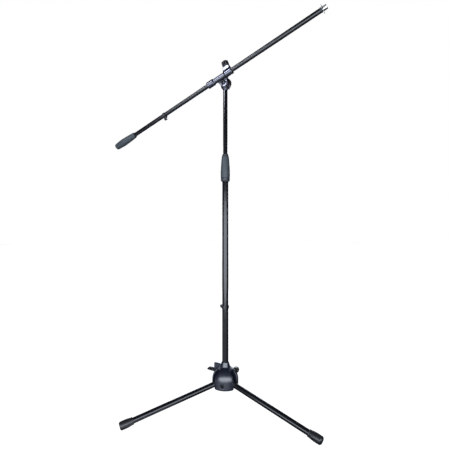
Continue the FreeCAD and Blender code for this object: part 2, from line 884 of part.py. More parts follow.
def make_hinge_fittings():
    """The friction washer, the bolt through both castings, its washer and its wing nut."""
    half = "washer_thickness/2"
    bore = "tilt_bolt_radius+tilt_bolt_clearance"
    put(tube("tilt_friction_washer", "washer_radius", bore, f"-{half}", half), tilt_frame())
    face = f"-{half}-running_clearance*2-carrier_disc_thickness"
    bolt = turned(
        "tilt_bolt",
        [
            ("0", f"{face}-tilt_head_height"),
            ("tilt_head_radius-2.5", f"{face}-tilt_head_height"),
            ("tilt_head_radius-0.6", f"{face}-tilt_head_height/2"),
            ("tilt_head_radius", face),
            ("tilt_bolt_radius", face),
            ("tilt_bolt_radius", "tilt_bolt_end"),
            ("0", "tilt_bolt_end"),
        ],
    )
    put(bolt, tilt_frame())
    far = f"{half}+base_disc_thickness"
    washer_end = f"{far}+nut_washer_thickness"
    put(tube("tilt_nut_washer", "tilt_head_radius+1", bore, far, washer_end), tilt_frame())
    start = f"{far}+nut_washer_thickness+running_clearance*2"
    size = ("0", "wing_span", "wing_height")
    wing = make_wing("tilt_wing_nut", start, size, "tilt_bolt_radius", "tilt_bolt_end")
    put(wing, tilt_frame())


def make_carrier():
    """The upper casting: hinge disc, ribbed web, boom sleeve and clamp block in one."""
    body = new_body("boom_carrier")
    face = "washer_thickness/2+running_clearance*2"
    level = "(boom_height-hinge_height)*cos(boom_elevation)"
    shift = "(boom_height-hinge_height)*sin(boom_elevation)"
    sketch = new_sketch(body, "DiscOutline", lift=face)
    ring(sketch, "0", "0", "carrier_disc_radius")
    extrude(body, sketch, "carrier_disc_thickness", "Disc")
    sketch = new_sketch(body, "WebOutline", lift=f"{face}+web_gap")
    back = f"{shift}-web_back"
    front = f"{shift}+web_front"
    chord = "web_foot_reach"
    dip = "-web_foot_drop"
    web = [(f"-{chord}", dip), (chord, dip), (front, level), (back, level), (back, f"{level}/2")]
    outline(sketch, web)
    extrude(body, sketch, "web_thickness", "Web")
    sketch = new_sketch(body, "SleeveOutline", "YZ_Plane", f"{shift}-sleeve_back")
    ring(sketch, "-boom_offset", level, "sleeve_radius")
    extrude(body, sketch, "sleeve_back+sleeve_front", "Sleeve")
    nose = f"{shift}+sleeve_front-sleeve_nose_length"
    ends = (
        ("Collar", f"{shift}-sleeve_back", "sleeve_collar_length"),
        ("Nose", nose, "sleeve_nose_length"),
    )
    for name, start, length in ends:
        sketch = new_sketch(body, f"{name}Outline", "YZ_Plane", start)
        ring(sketch, "-boom_offset", level, "sleeve_collar_radius")
        extrude(body, sketch, length, name)
    sketch = new_sketch(body, "ClampOutline", lift="boom_offset-clamp_thickness/2")
    outline(
        sketch,
        [
            (f"{shift}+clamp_back", level),
            (f"{shift}+clamp_front", level),
            (f"{shift}+clamp_top_front", f"{level}+clamp_rise"),
            (f"{shift}+clamp_top_back", f"{level}+clamp_rise"),
        ],
    )
    extrude(body, sketch, "clamp_thickness", "Clamp")
    crown = number(f"{level}+clamp_rise")
    ease(body, "clamp_edge", lambda edge: edge.BoundBox.ZMin > crown - 0.01, "ClampEdges")
    sketch = new_sketch(body, "BoomBoreOutline", "YZ_Plane", f"{shift}-sleeve_back-1")
    ring(sketch, "-boom_offset", level, "sleeve_bore_radius")
    extrude(body, sketch, "sleeve_back*2", "BoomBore", cut=True, flip=True)
    sketch = new_sketch(body, "BoltBoreOutline")
    ring(sketch, "0", "0", "tilt_bolt_radius")
    extrude(body, sketch, "carrier_disc_thickness*3", "BoltBore", cut=True, both=True)
    sketch = new_sketch(body, "BoltHeadOutline", lift=f"{face}+carrier_disc_thickness")
    ring(sketch, "0", "0", "tilt_head_radius+fine_edge")
    extrude(body, sketch, "web_thickness", "BoltHead", cut=True, flip=True)
    sketch = new_sketch(body, "ScrewBoreOutline", "XY_Plane", level)
    ring(sketch, f"{shift}+boom_screw_place", "-boom_offset", "shoe_radius")
    high = "boom_tube_radius+shoe_height+1"
    extrude(body, sketch, high, "ShoeBore", cut=True, flip=True)
    sketch = new_sketch(body, "ThreadBoreOutline", "XY_Plane", level)
    place = f"{shift}+boom_screw_place"
    ring(sketch, place, "-boom_offset", "boom_screw_radius+running_clearance")
    extrude(body, sketch, "clamp_rise+1", "ThreadBore", cut=True, flip=True)
    put(body, head_frame())


def make_boom_clamp():
    """The shoe that presses on the boom, its screw, and the fluted knob on the screw."""
    start = "boom_tube_radius+running_clearance*6"
    shoe_top = f"{start}+shoe_height"
    put(tube("boom_brake_shoe", "shoe_radius", "0", start, shoe_top), boom_screw_frame())
    low = "clamp_rise+collar_gap/2"
    high = f"{low}+knob_height"
    stud_end = f"{high}-knob_edge*2"
    stud_start = f"{shoe_top}+running_clearance*2"
    stud = tube("boom_screw_stud", "boom_screw_radius", "0", stud_start, stud_end)
    put(stud, boom_screw_frame())
    knob = new_body("boom_screw_knob")
    corners = [
        ("0", low),
        ("knob_radius-knob_edge", low),
        ("knob_radius", f"{low}+knob_edge"),
        ("knob_radius", f"{high}-knob_edge"),
        ("knob_radius-knob_edge", high),
        ("0", high),
    ]
    turn(knob, corners, "Knob")
    sketch = new_sketch(knob, "FluteOutline", "XY_Plane", low)
    ring(sketch, "knob_radius+flute_radius/2", "0", "flute_radius")
    flute = extrude(knob, sketch, "knob_height", "Flute", cut=True, flip=True)
    repeat(knob, [flute], "knob_flutes", "Flutes")
    bore = "boom_screw_radius"
    turn(knob, [("0", low), (bore, low), (bore, stud_end), ("0", stud_end)], "Bore", cut=True)
    put(knob, boom_screw_frame())


def make_boom_bushes():
    """Two plastic bushes, one at each end of the sleeve, as solids of one node."""
    inner = number("boom_tube_radius") + number("running_clearance")
    outer = number("sleeve_bore_radius")
    length = number("boom_bush_length")
    solids = []
    for start in (-number("sleeve_back") + 1, number("sleeve_front") - length - 1):
        bush = Part.makeCylinder(outer, length).cut(Part.makeCylinder(inner, length))
        if start > 0:
            screw = number("boom_screw_place") - start
            side = FreeCAD.Vector(0, 0, screw)
            hole = Part.makeCylinder(number("shoe_radius") + 0.3, outer * 2, side)
            hole.rotate(side, FreeCAD.Vector(0, 1, 0), -90)
            bush = bush.cut(hole)
        bush.translate(FreeCAD.Vector(0, 0, start))
        solids.append(bush)
    feature = doc.addObject("Part::Feature", "boom_guide_bushes")
    feature.Label = "boom_guide_bushes"
    feature.Shape = Part.makeCompound(solids)
    feature.Placement = boom_frame()
    nodes.append(feature)


def make_boom():
    """The boom tube with its microphone adapter and lock ring, and the grip behind."""
    inner = "boom_tube_radius-boom_tube_wall"
    put(tube("boom_tube", "boom_tube_radius", inner, "-boom_grip_end", "boom_mic_end"), boom_frame())
    cap = turned(
        "mic_end_cap",
        [
            ("mic_shank_radius", "boom_mic_end-mic_plug_depth"),
            (inner, "boom_mic_end-mic_plug_depth"),
            (inner, "boom_mic_end"),
            ("mic_cap_radius-fine_edge", "boom_mic_end"),
            ("mic_cap_radius", "boom_mic_end+fine_edge"),
            ("mic_cap_radius", "mic_thread_start-soft_edge"),
            ("mic_cap_radius-soft_edge", "mic_thread_start"),
            ("mic_shank_radius", "mic_thread_start"),
        ],
    )
    put(cap, boom_frame())
    adapter = turned(
        "mic_thread_adapter",
        [
            ("0", "boom_mic_end-mic_plug_depth"),
            ("mic_shank_radius", "boom_mic_end-mic_plug_depth"),
            ("mic_shank_radius", "mic_thread_start"),
            ("mic_neck_radius", "mic_thread_start"),
            ("mic_neck_radius", "mic_thread_start+mic_neck_length"),
            ("mic_thread_radius", "mic_thread_start+mic_neck_length"),
            ("mic_thread_radius", "mic_thread_end-1"),
            ("mic_thread_radius-1", "mic_thread_end"),
            ("0", "mic_thread_end"),
        ],
    )
    put(adapter, boom_frame())
    low = "mic_thread_start+lock_ring_gap"
    high = f"{low}+lock_ring_height"
    bore = "mic_neck_radius+running_clearance"
    lock_ring = turned(
        "mic_lock_ring",
        [
            (bore, low),
            ("lock_ring_radius-fine_edge", low),
            ("lock_ring_radius", f"{low}+fine_edge"),
            ("lock_ring_radius", f"{high}-fine_edge"),
            ("lock_ring_radius-fine_edge", high),
            (bore, high),
        ],
    )
    put(lock_ring, boom_frame())
    end = "-boom_grip_end-boom_grip_sole"
    grip = turned(
        "boom_grip",
        [
            ("boom_tube_radius", "-boom_grip_start"),
            ("boom_grip_mouth_radius-1.8", "-boom_grip_start"),
            ("boom_grip_mouth_radius", "-boom_grip_start-3"),
            ("boom_grip_swell_radius", "-boom_grip_swell"),
            ("boom_grip_end_radius", f"{end}+boom_grip_edge"),
            ("boom_grip_end_radius-boom_grip_edge", end),
            ("0", end),
            ("0", "-boom_grip_end"),
            ("boom_tube_radius", "-boom_grip_end"),
        ],
        {2: ("boom_grip_bend", False), 3: ("boom_grip_bend/4", False)},
    )
    corner = ("boom_grip_end_radius", f"{end}+boom_grip_edge")
    ease(grip, "boom_grip_edge", circles(corner), "EndRounding")
    put(grip, boom_frame())


def make_clip(label, tube_radius, width):
    """A snap-on cable clip: an open ring on the tube and an open channel beside it."""
    body = new_body(label)
    bore = f"{tube_radius}+running_clearance"
    rim = f"{bore}+clip_wall"
    shell = "channel_radius+channel_wall"
    centre = f"({rim}+channel_radius)"
    for name, x, radius in (("Ring", "0", rim), ("Channel", centre, shell)):
        sketch = new_sketch(body, f"{name}Outline", "XY_Plane")
        ring(sketch, x, "0", radius)
        extrude(body, sketch, width, name, both=True)
    for name, x, radius in (("Bore", "0", bore), ("CableBore", centre, "channel_radius")):
        sketch = new_sketch(body, f"{name}Outline", "XY_Plane")
        ring(sketch, x, "0", radius)
        extrude(body, sketch, f"{width}*2", name, cut=True, both=True)
    sketch = new_sketch(body, "RingMouthOutline", "XY_Plane")
    reach = f"-{rim}*2"
    spread = f"{rim}*2*tan(clip_mouth_angle/2)"
    outline(sketch, [("0", "0"), (reach, spread), (reach, f"-{spread}")])
    extrude(body, sketch, f"{width}*2", "RingMouth", cut=True, both=True)
    sketch = new_sketch(body, "ChannelMouthOutline", "XY_Plane")
    half = "channel_mouth/2"
    low, high = f"{centre}-{half}", f"{centre}+{half}"
    outline(sketch, [(low, "0"), (high, "0"), (high, f"{shell}*2"), (low, f"{shell}*2")])
    extrude(body, sketch, f"{width}*2", "ChannelMouth", cut=True, both=True)
    return body


def make_clips():
    """One cable clip on the column, and one hanging below the boom."""
    clip = make_clip("column_cable_clip", "lower_tube_radius", "column_clip_width")
    turns = (ALONG_Z, number("column_clip_azimuth"))
    put(clip, place_of(0, 0, number("column_clip_height"), turns))
    clip = make_clip("boom_cable_clip", "boom_tube_radius", "boom_clip_width")
    along = FreeCAD.Vector(0, 0, -number("boom_clip_place"))
    put(clip, boom_frame().multiply(FreeCAD.Placement(along, FreeCAD.Rotation())))


make_hub()
make_pins()
make_hub_clamp()
for word, azimuth in LEGS.items():
    make_leg(word, azimuth)
make_column()
make_clutch()
make_upper_tube()
make_swivel_base()
make_hinge_fittings()
make_carrier()
make_boom_clamp()
make_boom_bushes()
make_boom()
make_clips()
doc.recompute()


def check_document():
    """Stop if any object failed or any node has no valid shape."""
    for thing in doc.Objects:
        if {"Invalid", "Error"} & set(thing.State):
            raise RuntimeError(f"{thing.Name} failed: {thing.State}")
    for node in nodes:
        if node.Shape.isNull() or not node.Shape.isValid() or not node.Shape.Solids:
            raise RuntimeError(f"{node.Label} has no valid shape")


def write_parts():
    """Write each node's shape to its own STEP file."""
    os.makedirs("parts", exist_ok=True)
    for node in nodes:
        node.Shape.exportStep(os.path.join("parts", f"{node.Label}.step"))


check_document()
write_parts()
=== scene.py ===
import json
import math

import bpy
import numpy as np
from mathutils import Matrix, Vector


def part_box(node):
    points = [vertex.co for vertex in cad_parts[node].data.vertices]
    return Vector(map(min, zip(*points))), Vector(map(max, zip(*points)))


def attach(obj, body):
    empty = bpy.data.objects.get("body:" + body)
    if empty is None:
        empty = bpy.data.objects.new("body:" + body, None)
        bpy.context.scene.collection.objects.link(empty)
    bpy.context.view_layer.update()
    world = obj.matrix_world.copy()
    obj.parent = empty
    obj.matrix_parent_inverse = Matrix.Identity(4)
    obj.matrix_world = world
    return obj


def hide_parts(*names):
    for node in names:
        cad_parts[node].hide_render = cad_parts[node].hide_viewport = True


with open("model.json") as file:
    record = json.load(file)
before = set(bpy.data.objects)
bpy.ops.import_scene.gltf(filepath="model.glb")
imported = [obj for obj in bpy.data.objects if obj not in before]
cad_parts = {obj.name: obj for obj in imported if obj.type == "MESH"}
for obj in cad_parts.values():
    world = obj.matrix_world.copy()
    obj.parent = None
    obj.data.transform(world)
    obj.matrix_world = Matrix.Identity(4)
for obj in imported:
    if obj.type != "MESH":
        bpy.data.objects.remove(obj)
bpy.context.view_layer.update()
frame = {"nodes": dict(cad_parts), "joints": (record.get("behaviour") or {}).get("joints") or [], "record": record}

# Looks for a boom microphone stand. Lengths of the pieces are in millimetres, in local frames
# that a matrix carries into the row frame, in metres.

RECORD = frame["record"]
NODES = frame["nodes"]
JOINTS = {joint["name"]: joint for joint in frame["joints"]}
BODY_OF = {node: body for body, nodes in RECORD["behaviour"]["bodies"].items() for node in nodes}
SLOT_OF = {row["node"]: row["material_slot"] for row in RECORD["subparts"]}
COLOUR_OF = {row["slot"]: row["base_color"] for row in RECORD["materials"]}
LEGS = ("front", "rear", "left")
LEG_SLOPE = 15
MM = 0.001

# ------------------------------------------------------------------------------- places


def place(origin, *turns):
    """A local frame at a point in metres, with its unit in millimetres."""
    matrix = Matrix.Translation(origin)
    for axis, degrees in turns:
        matrix = matrix @ Matrix.Rotation(math.radians(degrees), 4, axis)
    return matrix @ Matrix.Scale(MM, 4)


def middle(node):
    """The middle of a node's box."""
    low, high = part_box(node)
    return (low + high) / 2


BOOM_AXIS = Vector(JOINTS["boom_slide"]["axis"])
BOOM_RISE = math.degrees(math.atan2(BOOM_AXIS.z, BOOM_AXIS.x))
HINGE = Vector(JOINTS["boom_tilt"]["pos_m"])
HINGE.y = 0
BOOM_MIDDLE = middle("boom_tube")
BOOM_ORIGIN = BOOM_MIDDLE - BOOM_AXIS * (BOOM_MIDDLE.x / BOOM_AXIS.x)
PIVOT = {word: Vector(JOINTS[f"leg_{word}_fold"]["pos_m"]) for word in LEGS}
AZIMUTH = {word: math.degrees(math.atan2(p.y, p.x)) for word, p in PIVOT.items()}
CLAMP = Vector(JOINTS["hub_screw_turn"]["pos_m"])
CLAMP_AZIMUTH = math.degrees(math.atan2(CLAMP.y, CLAMP.x))

COLUMN = place((0, 0, 0))
HUB = place((0, 0, 0), ("Z", AZIMUTH["front"]))
CLAMP_SCREW = place((0, 0, CLAMP.z), ("Z", CLAMP_AZIMUTH), ("Y", 90))
HEAD = place(HINGE, ("Y", -BOOM_RISE))
TILT = place(HINGE, ("X", -90), ("Z", -90))
BOOM = place(BOOM_ORIGIN, ("Y", 90 - BOOM_RISE))
SCREW_FOOT = Vector(JOINTS["boom_screw_turn"]["pos_m"])
SCREW_RISE = (SCREW_FOOT - BOOM_ORIGIN).dot(BOOM_AXIS)
BOOM_SCREW = place(BOOM_ORIGIN + BOOM_AXIS * SCREW_RISE, ("Y", -BOOM_RISE))


def leg_place(word):
    """Local Z along the leg away from its pivot, local -X up, local Y along the pivot."""
    return place(PIVOT[word], ("Z", AZIMUTH[word]), ("Y", 90 + LEG_SLOPE))


def span(node, local):
    """How far a node reaches along and about the Z axis of a local frame."""
    back = local.inverted()
    points = [back @ vertex.co for vertex in NODES[node].data.vertices]
    heights = [point.z for point in points]
    return min(heights), max(heights), max(math.hypot(p.x, p.y) for p in points)


# --------------------------------------------------------------------- turned pieces


def mesh_object(name, points, faces, local, smooth_angle=38):
    """A mesh from local points, with its vertices in the row frame."""
    mesh = bpy.data.meshes.new(name)
    mesh.from_pydata([local @ Vector(point) for point in points], [], faces)
    mesh.validate()
    mesh.update()
    mesh.polygons.foreach_set("use_smooth", [True] * len(mesh.polygons))
    mesh.set_sharp_from_angle(angle=math.radians(smooth_angle))
    piece = bpy.data.objects.new(name, mesh)
    bpy.context.scene.collection.objects.link(piece)
    return piece


def stand_for(piece, node):
    """The piece shows instead of a node, moves with its body and takes its finish."""
    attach(piece, BODY_OF[node])
    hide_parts(node)
    piece.data.materials.append(FINISHES[SLOT_OF[node]])
    return piece


LONGEST_FILLET = 0.45
STRAIGHT = 0.02


def corner_arc(before, corner, after, radius, steps=5):
    """Points of a fillet of a corner, no longer than LONGEST_FILLET of either side."""
    back, ahead = before - corner, after - corner
    if radius <= 0 or back.length < 1e-6 or ahead.length < 1e-6:
        return [corner]
    angle = back.angle(ahead)
    if angle > math.pi - STRAIGHT:
        return [corner]
    longest = LONGEST_FILLET * min(back.length, ahead.length)
    cut = min(radius / math.tan(angle / 2), longest)
    start, end = corner + back.normalized() * cut, corner + ahead.normalized() * cut
    points = []
    for i in range(steps + 1):
        share = i / steps
        points.append(start.lerp(corner, share).lerp(corner.lerp(end, share), share))
    return points


def bowed(start, end, sag, steps=14):
    """Points between two ends of a run that bows to its right by sag."""
    if not sag:
        return []
    run = end - start
    side = Vector((run.y, -run.x)).normalized()
    shares = [i / steps for i in range(1, steps)]
    return [start.lerp(end, share) + side * sag * 4 * share * (1 - share) for share in shares]


def outline(corners, closed):
    """The points of an outline of (radius, height, rounding, sag) corners. The rounding is the
    radius of the corner's fillet and the sag is the bow of the run after it; both may be left
    out."""
    places = [Vector(corner[:2]) for corner in corners]
    count = len(corners)
    points = []
    for i, corner in enumerate(corners):
        rounding = corner[2] if len(corner) > 2 else 0
        if closed or 0 < i < count - 1:
            arc = corner_arc(places[i - 1], places[i], places[(i + 1) % count], rounding)
        else:
            arc = [places[i]]
        points += arc
        if len(corner) > 3:
            points += bowed(arc[-1], places[(i + 1) % count], corner[3])
    return points


def lathe(name, corners, local, closed=False, segments=72, shape=None):
    """An outline turned about local Z. shape(angle, radius, height) changes a radius."""
    profile = outline(corners, closed)
    points, rows = [], []
    for radius, height in profile:
        if radius < 1e-6:
            rows.append([len(points)] * segments)
            points.append((0, 0, height))
            continue
        rows.append(list(range(len(points), len(points) + segments)))
        for k in range(segments):
            angle = math.tau * k / segments
            r = shape(angle, radius, height) if shape else radius
            points.append((r * math.cos(angle), r * math.sin(angle), height))
    pairs = list(zip(rows, rows[1:] + rows[:1])) if closed else list(zip(rows, rows[1:]))
    faces = []
    for lower, upper in pairs:
        for k in range(segments):
            k2 = (k + 1) % segments
            face = [lower[k], lower[k2], upper[k2], upper[k]]
            face = list(dict.fromkeys(face))
            if len(face) > 2:
                faces.append(face)
    return mesh_object(name, points, faces, local)


# ---------------------------------------------------------- cast and moulded pieces
# A cast piece is the zero surface of a field: negative inside, in millimetres. Where a field
# function takes k, it is the size of the fillet or of the rounded edge.

# How far a cut runs on past the surface that it opens.
BEYOND = 30


def blend_in(a, b, k):
    """Union of two fields with a fillet of about k."""
    h = np.maximum(k - np.abs(a - b), 0) / k
    return np.minimum(a, b) - h * h * k / 4


def common(a, b, k):
    """Overlap of two fields with an edge rounded by about k."""
    return -blend_in(-a, -b, k)


def without(a, b, k):
    """The first field less the second, with an edge rounded by about k."""
    return common(a, -b, k)


def slab(v, low, high):
    """The space between two planes."""
    return np.abs(v - (low + high) / 2) - (high - low) / 2


def block(p, low, high, k):
    """A box with rounded edges."""
    field = slab(p[..., 0], low[0], high[0])
    for axis in (1, 2):
        field = common(field, slab(p[..., axis], low[axis], high[axis]), k)
    return field


def rod(p, axis, centre, radius, low, high, k):
    """A round bar along an axis, centred at (the next axis, the one after)."""
    u, v = p[..., (axis + 1) % 3] - centre[0], p[..., (axis + 2) % 3] - centre[1]
    return common(np.hypot(u, v) - radius, slab(p[..., axis], low, high), k)


def prism(u, v, corners, k):
    """A convex outline with anticlockwise corners in the (u, v) plane."""
    field = None
    for (u0, v0), (u1, v1) in zip(corners, corners[1:] + corners[:1]):
        length = math.hypot(u1 - u0, v1 - v0)
        side = ((u - u0) * (v1 - v0) - (v - v0) * (u1 - u0)) / length
        field = side if field is None else common(field, side, k)
    return field


def edges_along(value, grid, axis, cell):
    """Grid edges along an axis that the surface crosses, and where it crosses them."""
    low = [slice(None)] * 3
    high = [slice(None)] * 3
    low[axis], high[axis] = slice(0, -1), slice(1, None)
    near, far = value[tuple(low)], value[tuple(high)]
    crossed = (near < 0) != (far < 0)
    gap = np.where(crossed, near - far, 1)
    point = grid[tuple(low)].copy()
    point[..., axis] += np.where(crossed, near / gap, 0) * cell
    return crossed, near < 0, point


def skin(field, low, high, cell):
    """Quads on the zero surface of a field, with their corners pulled onto it."""
    low = np.array(low, float) - cell * 1.5
    counts = np.ceil((np.array(high, float) + cell * 1.5 - low) / cell).astype(int) + 1
    lines = [low[axis] + cell * np.arange(counts[axis]) for axis in range(3)]
    grid = np.stack(np.meshgrid(*lines, indexing="ij"), -1)
    value = field(grid)
    cells = counts - 1
    total, hits = np.zeros((*cells, 3)), np.zeros(cells)
    found = []
    for axis in range(3):
        crossed, inside, point = edges_along(value, grid, axis, cell)
        found.append((crossed, inside))
        beside = [other for other in range(3) if other != axis]
        for i in (0, 1):
            for j in (0, 1):
                part = [slice(None)] * 3
                part[beside[0]] = slice(i, i + cells[beside[0]])
                part[beside[1]] = slice(j, j + cells[beside[1]])
                part = tuple(part)
                total += np.where(crossed[part][..., None], point[part], 0)
                hits += crossed[part]
    active = hits > 0
    index = np.full(cells, -1)
    index[active] = np.arange(active.sum())
    points = total[active] / hits[active][:, None]
    quads = []
    for axis, (crossed, inside) in enumerate(found):
        b, c = (axis + 1) % 3, (axis + 2) % 3
        at = np.argwhere(crossed)
        at = at[(at[:, b] > 0) & (at[:, c] > 0) & (at[:, b] < cells[b]) & (at[:, c] < cells[c])]
        corners = []
        for back_b, back_c in ((1, 1), (0, 1), (0, 0), (1, 0)):
            cell_at = at.copy()
            cell_at[:, b] -= back_b
            cell_at[:, c] -= back_c
            corners.append(index[tuple(cell_at.T)])
        quad = np.stack(corners, -1)
        outward = inside[tuple(at.T)]
        quad[~outward] = quad[~outward][:, ::-1]
        quads.append(quad)
    return settle(field, points, cell), np.concatenate(quads)


# How a point is moved onto a surface, in cells: the probe for the slope, the longest move.
SLOPE_PROBE, LONGEST_MOVE = 0.05, 0.4
LEAST_STEEPNESS = 0.2


def settle(field, points, cell, rounds=6):
    """Move points onto the zero surface, down its slope."""
    step = cell * SLOPE_PROBE
    for _ in range(rounds):
        slope = np.zeros_like(points)
        for axis in range(3):
            nudge = np.zeros(3)
            nudge[axis] = step
            slope[:, axis] = (field(points + nudge) - field(points - nudge)) / (2 * step)
        steepness = np.maximum((slope**2).sum(1), LEAST_STEEPNESS)
        shift = slope * (field(points) / steepness)[:, None]
        reach = np.linalg.norm(shift, axis=1)[:, None]
        points = points - shift * np.minimum(1, cell * LONGEST_MOVE / np.maximum(reach, 1e-9))
    return points


def cast(name, field, low, high, cell, local):
    """A piece whose surface is the zero surface of a field."""
    points, quads = skin(field, low, high, cell)
    return mesh_object(name, points.tolist(), quads.tolist(), local, smooth_angle=60)


# --------------------------------------------------------------------------- finishes


def add(tree, kind, values=None, **settings):
    """A shader node with its settings, and its inputs as values or links."""
    node = tree.nodes.new(kind)
    for key, value in settings.items():
        setattr(node, key, value)
    for key, value in (values or {}).items():
        if isinstance(value, bpy.types.NodeSocket):
            tree.links.new(value, node.inputs[key])
        else:
            node.inputs[key].default_value = value
    return node


def noise(tree, coords, size, detail):
    """Noise whose features are about size millimetres, from 0 to 1."""
    values = {"Vector": coords, "Scale": 1 / (size * MM), "Detail": detail}
    return add(tree, "ShaderNodeTexNoise", values).outputs[0]


def remap(tree, value, from_low, from_high, to_low, to_high):
    """A value carried from one range to another and held inside it."""
    values = {
        "Value": value,
        "From Min": from_low,
        "From Max": from_high,
        "To Min": to_low,
        "To Max": to_high,
    }
    return add(tree, "ShaderNodeMapRange", values).outputs[0]


def arithmetic(tree, operation, a, b):
    return add(tree, "ShaderNodeMath", {0: a, 1: b}, operation=operation).outputs[0]


def mixed(tree, factor, a, b, blend="MIX"):
    """Two colours mixed by a factor. Each of the three is a constant or a link."""
    node = add(tree, "ShaderNodeMix", data_type="RGBA", blend_type=blend)
    for socket, value in ((node.inputs[0], factor), (node.inputs[6], a), (node.inputs[7], b)):
        if isinstance(value, bpy.types.NodeSocket):
            tree.links.new(value, socket)
        else:
            socket.default_value = value
    return node.outputs[2]


WORN_EDGE_RADIUS = 0.5
# Cosines between the true and the rounded normal where wear starts and where it is full.
WORN_EDGE_COSINES = (0.94, 0.75)
# The part of a noise texture's range that its values mostly fill.
NOISE_LOW, NOISE_HIGH = 0.3, 0.7


def edge_mask(tree):
    """Near 1 on worn convex and concave edges, 0 on open surfaces."""
    width = {"Radius": WORN_EDGE_RADIUS * MM}
    rounded = add(tree, "ShaderNodeBevel", width, samples=4).outputs[0]
    plain = add(tree, "ShaderNodeNewGeometry").outputs["Normal"]
    node = add(tree, "ShaderNodeVectorMath", {0: rounded, 1: plain}, operation="DOT_PRODUCT")
    return remap(tree, node.outputs["Value"], *WORN_EDGE_COSINES, 0, 1)


def finish(
    slot, roughness, tone, grain, metallic=0.0, worn=None, coat=0.0, soft=0.35, depth=1.0
):
    """A finish in its slot's colour times depth. roughness is (low, high); tone is (share, size)
    of its mottling; grain is (size, height) of its bumps in millimetres; worn is a colour that
    shows through on edges; soft is the radius to which edges look rounded."""
    material = bpy.data.materials.new(slot)
    material.use_nodes = True
    tree = material.node_tree
    shader = tree.nodes["Principled BSDF"]
    coords = add(tree, "ShaderNodeTexCoord").outputs["Object"]
    colour = (*(part * depth for part in COLOUR_OF[slot]), 1)
    mottle = noise(tree, coords, tone[1], 4)
    share = remap(tree, mottle, NOISE_LOW, NOISE_HIGH, 1 - tone[0], 1 + tone[0])
    shade = add(tree, "ShaderNodeCombineColor", {0: share, 1: share, 2: share}).outputs[0]
    base = mixed(tree, 1, colour, shade, "MULTIPLY")
    if worn:
        rubbed = remap(tree, noise(tree, coords, 6, 5), 0.45, 0.7, 0, 0.8)
        mask = arithmetic(tree, "MULTIPLY", edge_mask(tree), rubbed)
        base = mixed(tree, mask, base, (*worn, 1))
    tree.links.new(base, shader.inputs["Base Color"])
    gloss = noise(tree, coords, tone[1] * 0.6, 5)
    gloss = remap(tree, gloss, NOISE_LOW, NOISE_HIGH, *roughness)
    tree.links.new(gloss, shader.inputs["Roughness"])
    relief = noise(tree, coords, grain[0], 3)
    values = {"Height": relief, "Distance": grain[1] * MM, "Strength": 1.0}
    if soft:
        bevel = add(tree, "ShaderNodeBevel", {"Radius": soft * MM}, samples=4)
        values["Normal"] = bevel.outputs[0]
    bump = add(tree, "ShaderNodeBump", values)
    tree.links.new(bump.outputs[0], shader.inputs["Normal"])
    shader.inputs["Metallic"].default_value = metallic
    shader.inputs["Coat Weight"].default_value = coat
    shader.inputs["Coat Roughness"].default_value = 0.3
    return material


ZINC = (0.32, 0.32, 0.33)
PALE_PLASTIC = (0.09, 0.095, 0.1)
FINISHES = {
    "powder_black": finish("powder_black", (0.15, 0.2), (0.2, 40), (2, 0.001), worn=ZINC, soft=0),
    "hub_black": finish(
        "hub_black", (0.3, 0.36), (0.12, 18), (3, 0.001), worn=PALE_PLASTIC, coat=1, depth=0.5
    ),
    "casting_grey": finish(
        "casting_grey", (0.2, 0.27), (0.08, 14), (3, 0.002), metallic=0.9, worn=ZINC, depth=0.85
    ),
    "knuckle_black": finish("knuckle_black", (0.3, 0.42), (0.15, 8), (1, 0.006), worn=ZINC),
    "knob_black": finish("knob_black", (0.3, 0.42), (0.15, 7), (0.6, 0.004), worn=PALE_PLASTIC),
    "clutch_black": finish("clutch_black", (0.3, 0.4), (0.1, 9), (0.6, 0.003), worn=PALE_PLASTIC),
    "clip_black": finish("clip_black", (0.3, 0.42), (0.12, 6), (0.6, 0.004), worn=PALE_PLASTIC),
    "grip_rubber": finish("grip_rubber", (0.46, 0.56), (0.1, 12), (0.5, 0.008)),
    "foot_rubber": finish("foot_rubber", (0.3, 0.42), (0.2, 10), (0.6, 0.008)),
    "bright_nickel": finish("bright_nickel", (0.1, 0.2), (0.06, 5), (1.5, 0.002), metallic=1.0),
    "plain_steel": finish("plain_steel", (0.25, 0.42), (0.12, 5), (0.5, 0.004), metallic=1.0),
    "dark_steel": finish("dark_steel", (0.3, 0.45), (0.12, 5), (0.5, 0.004), metallic=1.0),
    "natural_nylon": finish("natural_nylon", (0.4, 0.5), (0.05, 8), (0.6, 0.004)),
    "fibre_washer": finish("fibre_washer", (0.7, 0.85), (0.2, 2), (0.3, 0.01)),
}

for node_name, node_object in NODES.items():
    for held in node_object.material_slots:
        held.material = FINISHES[SLOT_OF[node_name]]

# -------------------------------------------------------------------------------- hub

DOME_RADIUS = 46.3
DOME_HEIGHT = 111
NECK_RADIUS = 12.5
NECK_FOOT_RADIUS = 17.8
CAVITY_RADIUS = 18.2
CAVITY_TOP = 111.2
COLUMN_BORE = 11.3
SLOT_HALF = 10.2
SLOT_INNER = 14.4
SLOT_SHOULDER = 140
WELL_PLACE = 25.5
BOSS_REACH = 43.5
BOSS_HALF = 11.5
BOSS_BOTTOM, BOSS_TOP = 118, 164
PIN_HOLE_RADIUS = 3.05
PIN_SEAT = 22
PIN_RECESS_RADIUS = 7
SCREW_HOLE_RADIUS = 4.1
PIVOT_RADIUS = PIVOT["front"].xy.length / MM
PIVOT_HEIGHT = PIVOT["front"].z / MM


def leg_sector(p):
    """The same points turned about Z into the sector of the leg along +X."""
    angle = np.arctan2(p[..., 1], p[..., 0])
    turn = np.round(angle / (math.tau / 3)) * (math.tau / 3)
    c, s = np.cos(turn), np.sin(turn)
    x, y = p[..., 0], p[..., 1]
    return np.stack([x * c + y * s, y * c - x * s, p[..., 2]], -1)


